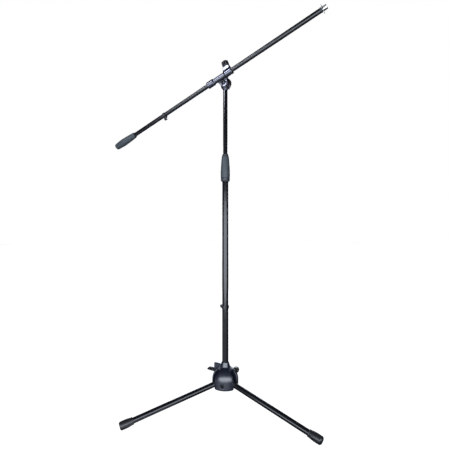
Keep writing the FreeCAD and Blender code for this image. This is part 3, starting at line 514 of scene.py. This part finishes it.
def hub_field(p):
    """Dome, skirt, tapered neck and clamp boss, open below and slotted for three legs."""
    low, top, _ = span("hub_casting", HUB)
    radius, z = np.hypot(p[..., 0], p[..., 1]), p[..., 2]
    dome = np.hypot(radius, np.maximum(z - DOME_HEIGHT, 0)) - DOME_RADIUS
    foot = DOME_HEIGHT + math.sqrt(DOME_RADIUS**2 - NECK_FOOT_RADIUS**2)
    taper = (NECK_FOOT_RADIUS - NECK_RADIUS) / (top - foot)
    cone = (radius - NECK_RADIUS - (top - z) * taper) / math.hypot(1, taper)
    field = blend_in(dome, common(cone, z - top, 1), 3)
    boss_low = (-BOSS_REACH, -BOSS_HALF, BOSS_BOTTOM)
    boss_high = (-NECK_RADIUS / 2, BOSS_HALF, BOSS_TOP)
    field = blend_in(field, block(p, boss_low, boss_high, 4), 3)
    field = common(field, low - z, 4)
    cavity = rod(p, 2, (0, 0), CAVITY_RADIUS, low - BEYOND, CAVITY_TOP, 1)
    field = without(field, cavity, 2)
    bore = rod(p, 2, (0, 0), COLUMN_BORE, low - BEYOND, top + BEYOND, 1)
    field = without(field, bore, 1.6)
    q = leg_sector(p)
    far = DOME_RADIUS + BEYOND
    slot_low = (SLOT_INNER, -SLOT_HALF, low - BEYOND)
    slot = block(q, slot_low, (far, SLOT_HALF, SLOT_SHOULDER), 1)
    well_low = (WELL_PLACE, -SLOT_HALF, low - BEYOND)
    well = block(q, well_low, (far, SLOT_HALF, top + BEYOND), 1)
    round_end = rod(q, 2, (WELL_PLACE, 0), SLOT_HALF, SLOT_SHOULDER - 2, top + BEYOND, 1)
    field = without(field, np.minimum(slot, np.minimum(well, round_end)), 2.4)
    pin = (PIVOT_HEIGHT, PIVOT_RADIUS)
    recess = rod(q, 1, pin, PIN_RECESS_RADIUS, PIN_SEAT, far, 0.8)
    field = without(field, recess, 1)
    pin_hole = rod(q, 1, pin, PIN_HOLE_RADIUS, -PIN_SEAT + 2, PIN_SEAT + BEYOND, 0.6)
    field = without(field, pin_hole, 0.8)
    height = CLAMP.z / MM
    screw = rod(p, 0, (0, height), SCREW_HOLE_RADIUS, -far, -NECK_RADIUS / 2, 0.6)
    return without(field, screw, 1)


def make_hub():
    low, top, _ = span("hub_casting", HUB)
    reach = DOME_RADIUS + 1
    corner, far = (-reach, -reach, low), (reach, reach, top)
    stand_for(cast("hub_casting_form", hub_field, corner, far, 1.05, HUB), "hub_casting")


WING_THICKNESS = 8
WING_TAPER = 0.09
WING_COLLAR_RADIUS, WING_COLLAR_HEIGHT = 7, 9


def wing_field(start, stem, end, half):
    """A stem and collar with two flat blunt wings, between two heights."""
    foot = start + stem

    def field(p):
        x, y, z = p[..., 0], p[..., 1], p[..., 2]
        collar_top = foot + WING_COLLAR_HEIGHT
        collar = rod(p, 2, (0, 0), WING_COLLAR_RADIUS, start, collar_top, 1.5)
        crown = rod(p, 2, (0, 0), 5.4, start, end - 2.5, 3)
        side = np.abs(x)
        sides = [(0, foot + 1), (half - 4, foot + 1), (half, foot + 6), (half, end), (0, end - 1.5)]
        wing = prism(side, z, sides, 3)
        # The wings are thickest at the collar and thin towards their tips.
        thin = np.abs(y) - (WING_THICKNESS / 2 - WING_TAPER * side)
        return blend_in(blend_in(collar, crown, 2), common(wing, thin, 2.4), 2.5)

    return field


def make_wing(node, local, stem, turned_by, half):
    """A winged nut or screw head on local Z, its wings turned about it by degrees."""
    low, high, _ = span(node, local)
    turned = local @ Matrix.Rotation(math.radians(turned_by), 4, "Z")
    field = wing_field(low, stem, high, half)
    corner, far = (-half, -WING_THICKNESS, low), (half, WING_THICKNESS, high)
    stand_for(cast(f"{node}_form", field, corner, far, 0.7, turned), node)


KNUCKLE_HALF = 9.8
EYE_RADIUS = 6
BAR_HALF = 9
# The bar's outline along the leg, as (along, up) corners.
KNUCKLE_BAR = [(0, -10), (19, -11.3), (19, 7.7), (1.5, 6), (0, 4.6)]
NOSE_ANGLE = 150
NOSE_MIDDLE, NOSE_REACH, NOSE_RADIUS, NOSE_WIDTH = 5, 5.9, 3, 9
SHANK_RADIUS, SHANK_DROP, SHANK_START, SHANK_END = 8.45, 1.8, 18, 45


def knuckle_field(p):
    """An eye on the pivot, a nose that bears on the plug, and a shank into the leg tube."""
    x, y, z = p[..., 0], p[..., 1], p[..., 2]
    eye = rod(p, 1, (0, 0), EYE_RADIUS, -KNUCKLE_HALF, KNUCKLE_HALF, 1.2)
    bar = common(prism(z, x, KNUCKLE_BAR, 1.5), np.abs(y) - BAR_HALF, 2.5)
    nose = math.radians(NOSE_ANGLE)
    u, v = -math.sin(nose), math.cos(nose)
    along, across = x * u + z * v, x * v - z * u
    beyond = np.maximum(np.abs(along - NOSE_MIDDLE) - NOSE_REACH, 0)
    arm = common(np.hypot(beyond, across) - NOSE_RADIUS, np.abs(y) - NOSE_WIDTH / 2, 1)
    shank = rod(p, 2, (-SHANK_DROP, 0), SHANK_RADIUS, SHANK_START, SHANK_END, 1)
    field = blend_in(blend_in(eye, bar, 3), blend_in(arm, shank, 0.5), 1)
    return without(field, rod(p, 1, (0, 0), PIN_HOLE_RADIUS, -BEYOND, BEYOND, 0.5), 0.8)


def make_leg(word):
    """One leg: its knuckle, its tube and a foot that stands flat on the floor."""
    local = leg_place(word)
    corner, far = (-13, -KNUCKLE_HALF, -12), (9, KNUCKLE_HALF, SHANK_END + 0.5)
    knuckle = cast(f"leg_knuckle_{word}_form", knuckle_field, corner, far, 1, local)
    stand_for(knuckle, f"leg_knuckle_{word}")

    shift = middle(f"leg_tube_{word}")
    back = local.inverted() @ shift
    axis = local @ Matrix.Translation((back.x, back.y, 0))
    mouth, end, radius = span(f"leg_foot_{word}", axis)
    tube = span(f"leg_tube_{word}", axis)[2]
    corners = [
        (tube, mouth + 1.5, 0),
        (tube + 0.4, mouth, 0.3),
        (tube + 2.2, mouth, 1.1),
        (tube + 2.5, mouth + 3.2, 0.4),
        (tube + 2.1, mouth + 3.9, 0.4),
        (tube + 2.3, mouth + 4.8, 0.4, 1.0),
        (radius, end - 7, 3, 0.3),
        (radius - 0.4, end - 3, 2.4),
        (radius - 3.2, end, 1.6),
        (5, end, 1),
        (4, end - 1.4, 1),
        (0, end - 1.4),
    ]
    foot = lathe(f"leg_foot_{word}_form", corners, axis, segments=80)
    for vertex in foot.data.vertices:
        vertex.co.z = max(vertex.co.z, 0)
    stand_for(foot, f"leg_foot_{word}")
    make_tube(f"leg_tube_{word}", axis, 1)


# ----------------------------------------------------------------------------- column


def make_tube(node, local, wall):
    """A tube with its edges broken, smooth all round."""
    low, high, radius = span(node, local)
    inner = radius - wall
    corners = [(inner, low, 0.2), (radius, low, 0.3), (radius, high, 0.3), (inner, high, 0.2)]
    stand_for(lathe(f"{node}_form", corners, local, closed=True, segments=96), node)


def make_clutch():
    """The collar, the soft grip and the ring above it."""
    low, high, radius = span("clutch_body", COLUMN)
    tube = span("lower_tube", COLUMN)[2]
    collar_top = span("clutch_grip", COLUMN)[0] - 0.8
    corners = [
        (tube + 0.02, low),
        (tube + 0.9, low, 0.5),
        (radius - 1.2, low + 2.6, 2),
        (radius, low + 5, 1.5),
        (radius, low + 8, 0.4),
        (radius - 0.4, low + 8.5, 0.3),
        (radius, low + 9, 0.4),
        (radius, collar_top, 0.7),
        (12.6, collar_top, 0.2),
        (12.6, high, 0.6),
        (tube + 0.02, high, 0.3),
    ]
    stand_for(lathe("clutch_body_form", corners, COLUMN, closed=True), "clutch_body")

    low, high, radius = span("clutch_grip", COLUMN)
    top = span("clutch_nose_ring", COLUMN)[2] + 0.4
    corners = [
        (14.2, low + 0.1),
        (radius - 0.8, low, 0.8),
        (radius, low + 2.6, 1.2),
        (radius, low + 20, 8, 0.5),
        (top, high - 0.8, 0.9),
        (top - 0.9, high, 0.5),
        (10.2, high - 0.1),
        (14.2, low + 20),
    ]
    grip = lathe("clutch_grip_form", corners, COLUMN, closed=True, segments=96)
    stand_for(grip, "clutch_grip")

    low, high, radius = span("clutch_nose_ring", COLUMN)
    corners = [
        (8.15, low),
        (radius, low, 0.3),
        (radius, low + 2.6, 1.0),
        (radius - 1.8, low + 4.6, 1.2),
        (radius - 1.9, high - 0.2, 1.2),
        (8.9, high, 0.3),
        (8.15, high - 0.5, 0.2),
    ]
    ring = lathe("clutch_nose_ring_form", corners, COLUMN, closed=True)
    stand_for(ring, "clutch_nose_ring")


# ------------------------------------------------------------------------------- head

CUP_RADIUS = 16.5
# The cup's underside is a cone: its unit slope, as (outwards, upwards).
CUP_SLOPE = (0.76, 0.65)
CUP_NECK_RADIUS, CUP_NECK_HEIGHT = 8.9, 12
CUP_TOP_DROP = 7
DISC_FACE = 0.6
BASE_DISC_RADIUS = 20
BASE_DISC_THICKNESS = 9.9
DISC_CLEARANCE_RADIUS = 15.3
TILT_BOLT_HOLE = 4.1


def swivel_field(p):
    """A cup on the upper tube with a hinge disc on its far side."""
    hinge = HINGE.z / MM
    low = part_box("swivel_base")[0].z / MM
    x, y, z = p[..., 0], p[..., 1], p[..., 2]
    radius = np.hypot(x, y)
    out, up = CUP_SLOPE
    cone = (radius - CUP_NECK_RADIUS) * out - (z - low - 1.5) * up
    cup = common(radius - CUP_RADIUS, cone, 5)
    cup = common(cup, slab(z, low, hinge - CUP_TOP_DROP), 1.2)
    neck = rod(p, 2, (0, 0), CUP_NECK_RADIUS, low, low + CUP_NECK_HEIGHT, 0.8)
    far = DISC_FACE + BASE_DISC_THICKNESS
    disc = rod(p, 1, (hinge, 0), BASE_DISC_RADIUS, DISC_FACE, far, 1.8)
    field = blend_in(blend_in(cup, neck, 2), disc, 4)
    near_low = (-BEYOND, -BEYOND, hinge - DISC_CLEARANCE_RADIUS)
    near = block(p, near_low, (BEYOND, DISC_FACE, hinge + BEYOND), 1)
    field = without(field, near, 1.6)
    back = rod(p, 1, (hinge, 0), DISC_CLEARANCE_RADIUS, far, far + BEYOND, 1)
    field = without(field, back, 1.6)
    bolt_hole = rod(p, 1, (hinge, 0), TILT_BOLT_HOLE, -BEYOND, BEYOND, 0.5)
    return without(field, bolt_hole, 0.8)



SLEEVE_LEVEL = (BOOM_ORIGIN.z - HINGE.z) / MM * math.cos(math.radians(BOOM_RISE))
SLEEVE_SHIFT = (BOOM_ORIGIN.z - HINGE.z) / MM * math.sin(math.radians(BOOM_RISE))
SLEEVE_SIDE = BOOM_ORIGIN.y / MM
CARRIER_FACE = -0.7
CARRIER_DISC = (14.5, 11.3)
BOLT_SEAT_RADIUS = 8
CARRIER_BOLT_HOLE = 4.02
WEB_FOOT_REACH = 13.8
WEB_NEAR, WEB_FAR, WEB_POCKET_FLOOR = -14.7, -5.7, -7
# The pocket beside the disc, as (along the boom, up) corners from the hinge.
POCKET = [(-11, 9), (5, 3.5), (6, 8), (-8, 13.4)]
SLEEVE_RADIUS, SLEEVE_BORE, COLLAR_RADIUS = 10, 8.6, 12.6
SLEEVE_BACK, SLEEVE_FRONT = 64, 40
COLLAR_LENGTH, NOSE_LENGTH = 27, 29
CLAMP_HALF = 8.5
# The clamp block, as (along the boom, up) corners from the boom's middle.
CLAMP_BLOCK = [(6, 0), (39.5, 0), (37, 24.5), (14.5, 24.5)]
BOOM_SCREW_HOLE = 3.1


def carrier_field(p):
    """Hinge disc, ribbed web, boom sleeve with its collar, and the clamp block."""
    x, y, z = p[..., 0], p[..., 1], p[..., 2]
    level, shift = SLEEVE_LEVEL, SLEEVE_SHIFT
    centre = (SLEEVE_SIDE, level)
    disc_radius, disc_depth = CARRIER_DISC
    near = CARRIER_FACE - disc_depth
    disc = rod(p, 1, (0, 0), disc_radius, near, CARRIER_FACE, 1.6)
    foot = -disc_radius * 0.31
    back, front = shift - SLEEVE_BACK, shift + SLEEVE_FRONT
    rim = [
        (-WEB_FOOT_REACH, foot),
        (WEB_FOOT_REACH, foot),
        (shift + 18, level),
        (shift - 26, level),
        (shift - 26, level / 2),
    ]
    web = common(prism(x, z, rim, 2), slab(y, WEB_NEAR, WEB_FAR), 2)
    pocket = common(prism(x, z, POCKET, 1.5), slab(y, -BEYOND, WEB_POCKET_FLOOR), 0.8)
    web = without(web, pocket, 1)
    sleeve = rod(p, 0, centre, SLEEVE_RADIUS, back, front, 1.6)
    collar = rod(p, 0, centre, COLLAR_RADIUS, back, back + COLLAR_LENGTH, 2.4)
    nose = rod(p, 0, centre, COLLAR_RADIUS, front - NOSE_LENGTH, front, 2.4)
    clamp = prism(x - shift, z - level, CLAMP_BLOCK, 3)
    clamp = common(clamp, np.abs(y - SLEEVE_SIDE) - CLAMP_HALF, 3)
    field = blend_in(disc, web, 2.5)
    field = blend_in(field, blend_in(blend_in(sleeve, collar, 2.4), nose, 2.4), 3)
    field = blend_in(field, clamp, 3)
    bore = rod(p, 0, centre, SLEEVE_BORE, back - BEYOND, front + BEYOND, 1)
    field = without(field, bore, 1.2)
    bolt_seat = rod(p, 1, (0, 0), BOLT_SEAT_RADIUS, near - BEYOND, near, 0.6)
    field = without(field, bolt_seat, 1.2)
    bolt_hole = rod(p, 1, (0, 0), CARRIER_BOLT_HOLE, near - BEYOND, BEYOND, 0.5)
    field = without(field, bolt_hole, 0.6)
    screw_at = (shift + SCREW_RISE / MM, SLEEVE_SIDE)
    screw_hole = rod(p, 2, screw_at, BOOM_SCREW_HOLE, level, level + 2 * BEYOND, 0.5)
    return without(field, screw_hole, 1)


def make_head():
    """Both castings of the tilting head, and the bolt between them."""
    low, high = (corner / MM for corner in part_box("swivel_base"))
    base = cast("swivel_base_form", swivel_field, low, high, 0.75, COLUMN)
    stand_for(base, "swivel_base")
    back = HEAD.inverted()
    points = [back @ vertex.co for vertex in NODES["boom_carrier"].data.vertices]
    low = [min(point[axis] for point in points) for axis in range(3)]
    high = [max(point[axis] for point in points) for axis in range(3)]
    stand_for(cast("boom_carrier_form", carrier_field, low, high, 0.8, HEAD), "boom_carrier")

    low, high, radius = span("tilt_bolt", TILT)
    face = low + 3.2
    corners = [
        (0, low),
        (3.2, low + 0.25, 2),
        (radius - 0.8, low + 1.8, 2),
        (radius, face - 0.3, 0.4),
        (radius - 0.3, face, 0.2),
        (4, face, 0.3),
        (4, high - 0.8, 0.4),
        (3.2, high, 0.2),
        (0, high),
    ]
    stand_for(lathe("tilt_bolt_form", corners, TILT), "tilt_bolt")


KNOB_LOBES = 8
KNOB_LOBE_DEPTH = 1.5
KNOB_FACE_RADIUS = 5


def make_boom_screw():
    """A lobed knob with a dished cap."""
    low, high, radius = span("boom_screw_knob", BOOM_SCREW)

    def lobed(angle, r, z):
        share = min(1, max(0, (r - KNOB_FACE_RADIUS) / (radius - KNOB_FACE_RADIUS)))
        return r - KNOB_LOBE_DEPTH * share * (0.5 - 0.5 * math.cos(KNOB_LOBES * angle))

    corners = [
        (0, low + 0.6),
        (6.5, low + 0.6, 0.4),
        (6.5, low, 0.3),
        (radius - 2.6, low, 1.2),
        (radius, low + 2.4, 1.6),
        (radius, high - 3, 2.4, 0.0),
        (radius - 2.4, high, 1.6),
        (7.2, high, 0.6),
        (6.6, high - 1, 0.6),
        (0, high - 1),
    ]
    knob = lathe("boom_screw_knob_form", corners, BOOM_SCREW, segments=128, shape=lobed)
    stand_for(knob, "boom_screw_knob")


# ------------------------------------------------------------------------------- boom

THREAD_PITCH = 25.4 / 27
THREAD_DEPTH = 0.55
KNURLS, KNURL_DEPTH, KNURL_BAND = 48, 0.35, 0.9


def make_adapter():
    """The threaded tip: a helical thread, flat at both ends, on a plain shank."""
    low, high, radius = span("mic_thread_adapter", BOOM)
    start = span("mic_lock_ring", BOOM)[1] + 0.5
    segments = 72
    rows = 10 * int((high - start) / THREAD_PITCH)
    points, faces = [], []
    profile = [(0, low), (5, low), (5, start - 3), (7.2, start - 3), (7.2, start)]
    heights = [start + 0.1 + (high - start - 0.1) * i / rows for i in range(rows + 1)]
    for r, z in profile + [(None, z) for z in heights] + [(0, high - 0.9)]:
        for k in range(segments):
            angle = math.tau * k / segments
            at = r
            # The threaded rows have no radius of their own.
            if r is None:
                turn = (z - start) / THREAD_PITCH - k / segments
                wave = abs(2 * (turn - math.floor(turn)) - 1)
                fade = min(1, (z - start) / 1.2)
                at = radius - THREAD_DEPTH * wave * fade - max(0, z - high + 1.2) * 0.9
            points.append((at * math.cos(angle), at * math.sin(angle), z))
    count = len(points) // segments
    for lower in range(0, (count - 1) * segments, segments):
        for k in range(segments):
            k2 = (k + 1) % segments
            faces.append([lower + k, lower + k2, lower + segments + k2, lower + segments + k])
    piece = mesh_object("mic_thread_adapter_form", points, faces, BOOM, smooth_angle=50)
    stand_for(piece, "mic_thread_adapter")


def make_mic_end():
    """The collar on the boom's end, the knurled lock ring and the threaded tip."""
    low, high, radius = span("mic_end_cap", BOOM)
    _, tube_end, tube = span("boom_tube", BOOM)
    corners = [
        (5, low),
        (tube - 1, low, 0.3),
        (tube - 1, tube_end),
        (radius - 0.1, tube_end + 0.02, 0.4),
        (radius, tube_end + 2.2, 0.4),
        (radius - 0.5, high - 0.6, 0.6),
        (radius - 1.4, high, 0.4),
        (5, high),
    ]
    stand_for(lathe("mic_end_cap_form", corners, BOOM, closed=True), "mic_end_cap")

    low, high, radius = span("mic_lock_ring", BOOM)

    def knurled(angle, r, z):
        cut = KNURL_DEPTH * (0.5 - 0.5 * math.cos(KNURLS * angle))
        return r - cut if r > radius - KNURL_BAND else r

    corners = [
        (7.25, low),
        (9.5, low, 0.2),
        (10, low + 0.35, 0.2),
        (radius - 0.4, low + 0.35, 0.3),
        (radius, low + 0.8, 0.2),
        (radius, high - 0.5, 0.2),
        (radius - 0.4, high, 0.3),
        (7.25, high),
    ]
    ring = lathe("mic_lock_ring_form", corners, BOOM, closed=True, segments=288, shape=knurled)
    stand_for(ring, "mic_lock_ring")
    make_adapter()


def make_boom_grip():
    """A soft grip: a stepped mouth, a long swelling and a rounded end."""
    end, mouth, radius = span("boom_grip", BOOM)
    tube = span("boom_tube", BOOM)[2]
    corners = [
        (0, end),
        (9.4, end, 1.5),
        (12, end + 2.2, 2.2),
        (12.4, end + 6.5, 3, 0.08),
        (radius, end + 38, 20, 0.4),
        (11.3, mouth - 4.6, 1.6),
        (10.9, mouth - 3.4, 0.4),
        (10.2, mouth - 3.2, 0.3),
        (9.8, mouth - 0.6, 0.6),
        (tube + 0.6, mouth, 0.3),
        (tube, mouth - 1),
        (tube, end + 4.05),
        (0, end + 4.05),
    ]
    stand_for(lathe("boom_grip_form", corners, BOOM, segments=96), "boom_grip")


CLIP_WALL = 2.2
CHANNEL_RADIUS, CHANNEL_WALL = 4.5, 1.9
# Half the angle of the mouth that snaps onto the tube.
MOUTH_HALF_ANGLE = math.radians(40)


def clip_field(tube, width):
    """A snap-on clip: an open ring round a tube and an open channel beside it."""
    rim = tube + CLIP_WALL
    centre = rim + CHANNEL_RADIUS

    def field(p):
        x, y = p[..., 0], p[..., 1]
        ring = np.hypot(x, y) - rim
        channel = np.hypot(x - centre, y) - (CHANNEL_RADIUS + CHANNEL_WALL)
        shape = blend_in(ring, channel, 2)
        shape = without(shape, np.hypot(x, y) - tube, 0.5)
        shape = without(shape, np.hypot(x - centre, y) - CHANNEL_RADIUS, 0.7)
        mouth = np.abs(y) * math.cos(MOUTH_HALF_ANGLE) + x * math.sin(MOUTH_HALF_ANGLE)
        shape = without(shape, mouth, 1.2)
        cable = np.maximum(np.abs(x - centre) - 2.5, -y)
        shape = without(shape, cable, 1.2)
        return common(shape, np.abs(p[..., 2]) - width / 2, 0.9)

    return field


def make_clip(node, local, tube):
    """A clip on a tube along local Z, its channel on the local X side."""
    low, high, radius = span(node, local)
    width = high - low
    centred = local @ Matrix.Translation((0, 0, (low + high) / 2))
    corner = (-radius, -radius, -width / 2)
    far = (radius, radius, width / 2)
    clip = cast(f"{node}_form", clip_field(tube + 0.05, width), corner, far, 0.55, centred)
    stand_for(clip, node)


# ------------------------------------------------------------------ stage and camera


def emission(name, diffuse):
    """A matt white that glows, so that it shows white under any light."""
    material = bpy.data.materials.new(name)
    material.use_nodes = True
    shader = material.node_tree.nodes["Principled BSDF"]
    shader.inputs["Base Color"].default_value = (diffuse, diffuse, diffuse, 1)
    shader.inputs["Roughness"].default_value = 0.9
    shader.inputs["Specular IOR Level"].default_value = 0
    shader.inputs["Emission Color"].default_value = (1, 1, 1, 1)
    shader.inputs["Emission Strength"].default_value = 1
    return material


def disc_mesh(name, radius, height, segments=64):
    """A flat disc about the row frame's Z axis."""
    mesh = bpy.data.meshes.new(name)
    rim = [math.tau * i / segments for i in range(segments)]
    mesh.from_pydata(
        [(radius * math.cos(a), radius * math.sin(a), height) for a in rim], [], [range(segments)]
    )
    piece = bpy.data.objects.new(name, mesh)
    bpy.context.scene.collection.objects.link(piece)
    return piece


def dome_mesh(name, radius):
    """A half sphere about the row frame's Z axis. A half sphere that shows white to the
    camera and lights nothing.
    """
    rings, segments = 12, 48
    points, faces = [], []
    for i in range(rings + 1):
        angle = (math.pi / 2) * i / rings
        for k in range(segments):
            turn = math.tau * k / segments
            flat = radius * math.cos(angle)
            points.append((flat * math.cos(turn), flat * math.sin(turn), radius * math.sin(angle)))
    for i in range(rings):
        for k in range(segments):
            k2 = (k + 1) % segments
            lower, upper = i * segments, (i + 1) * segments
            faces.append([lower + k, upper + k, upper + k2, lower + k2])
    mesh = bpy.data.meshes.new(name)
    mesh.from_pydata(points, [], faces)
    piece = bpy.data.objects.new(name, mesh)
    bpy.context.scene.collection.objects.link(piece)
    return piece


def only_for_camera(piece):
    """The piece is seen but lights, reflects and shades nothing."""
    piece.visible_diffuse = False
    piece.visible_glossy = False
    piece.visible_transmission = False
    piece.visible_shadow = False


STAGE_RADIUS = 14
FLOOR_DROP = 0.0003


def make_stage():
    """A white floor and backdrop, and a dim even world."""
    floor = disc_mesh("floor", STAGE_RADIUS, -FLOOR_DROP)
    floor.data.materials.append(emission("floor_white", 0.3))
    floor.visible_glossy = False
    floor.visible_diffuse = False
    backdrop = dome_mesh("backdrop", STAGE_RADIUS)
    backdrop.data.materials.append(emission("backdrop_white", 0))
    only_for_camera(backdrop)
    world = bpy.data.worlds.new("studio")
    world.use_nodes = True
    world.node_tree.nodes["Background"].inputs[0].default_value = (0.9, 0.93, 1, 1)
    world.node_tree.nodes["Background"].inputs[1].default_value = 0.01
    bpy.context.scene.world = world
    bpy.context.scene.view_settings.view_transform = "Standard"


def softbox(name, position, aim, size, power, spread=180):
    """A rectangular light. spread is the full angle of its beam, in degrees."""
    light = bpy.data.lights.new(name, "AREA")
    light.shape = "RECTANGLE"
    light.size, light.size_y = size
    light.energy = power
    light.color = COOL_WHITE
    light.spread = math.radians(spread)
    lamp = bpy.data.objects.new(name, light)
    lamp.location = position
    lamp.rotation_euler = (Vector(aim) - Vector(position)).to_track_quat("-Z", "Y").to_euler()
    lamp.visible_camera = False
    bpy.context.scene.collection.objects.link(lamp)


COOL_WHITE = (0.82, 0.89, 1)
CAMERA_PLACE = Vector((0.6562, -1.2364, 0.657))
CAMERA_TURN = 28


def make_camera_and_lights():
    """The photograph's camera, and the lights placed by their azimuth from it."""
    camera = bpy.data.cameras.new("camera")
    camera.lens = 31.5
    camera.sensor_width = 36
    eye = bpy.data.objects.new("camera", camera)
    eye.location = CAMERA_PLACE
    eye.rotation_euler = (math.radians(90), 0, math.radians(CAMERA_TURN))
    bpy.context.scene.collection.objects.link(eye)
    bpy.context.scene.camera = eye

    def stand_at(azimuth, distance, height):
        """A place by its azimuth, in degrees leftwards from the camera's own."""
        angle = math.radians(CAMERA_TURN - 90 - azimuth)
        return Vector((math.cos(angle) * distance, math.sin(angle) * distance, height))

    softbox("key", stand_at(2, 1.6, 0.505), (0, 0, 0.505), (4.95, 1), 88)
    softbox("high", stand_at(58, 2.3, 2.25), (0, 0, 1.2), (2.2, 0.3), 3.2, spread=36)
    softbox("bounce", stand_at(20, 0.95, 0.01), stand_at(20, 0.95, 1), (2.4, 1.6), 7)
    softbox("back", stand_at(180, 2.6, 0.9), (0, 0, 0.6), (2.2, 1.2), 40)


make_hub()
for leg in LEGS:
    make_leg(leg)
make_wing("hub_screw_wing", CLAMP_SCREW, 7, 84, 10)
make_tube("lower_tube", COLUMN, 1.2)
make_clutch()
make_tube("upper_tube", COLUMN, 1)
make_head()
make_wing("tilt_wing_nut", TILT, 0, 0, 14)
make_boom_screw()
make_mic_end()
make_tube("boom_tube", BOOM, 1)
make_boom_grip()
COLUMN_CLIP = place((0, 0, 0), ("Z", 161))
make_clip("column_cable_clip", COLUMN_CLIP, span("lower_tube", COLUMN)[2])
make_clip("boom_cable_clip", BOOM, span("boom_tube", BOOM)[2])
make_stage()
make_camera_and_lights()
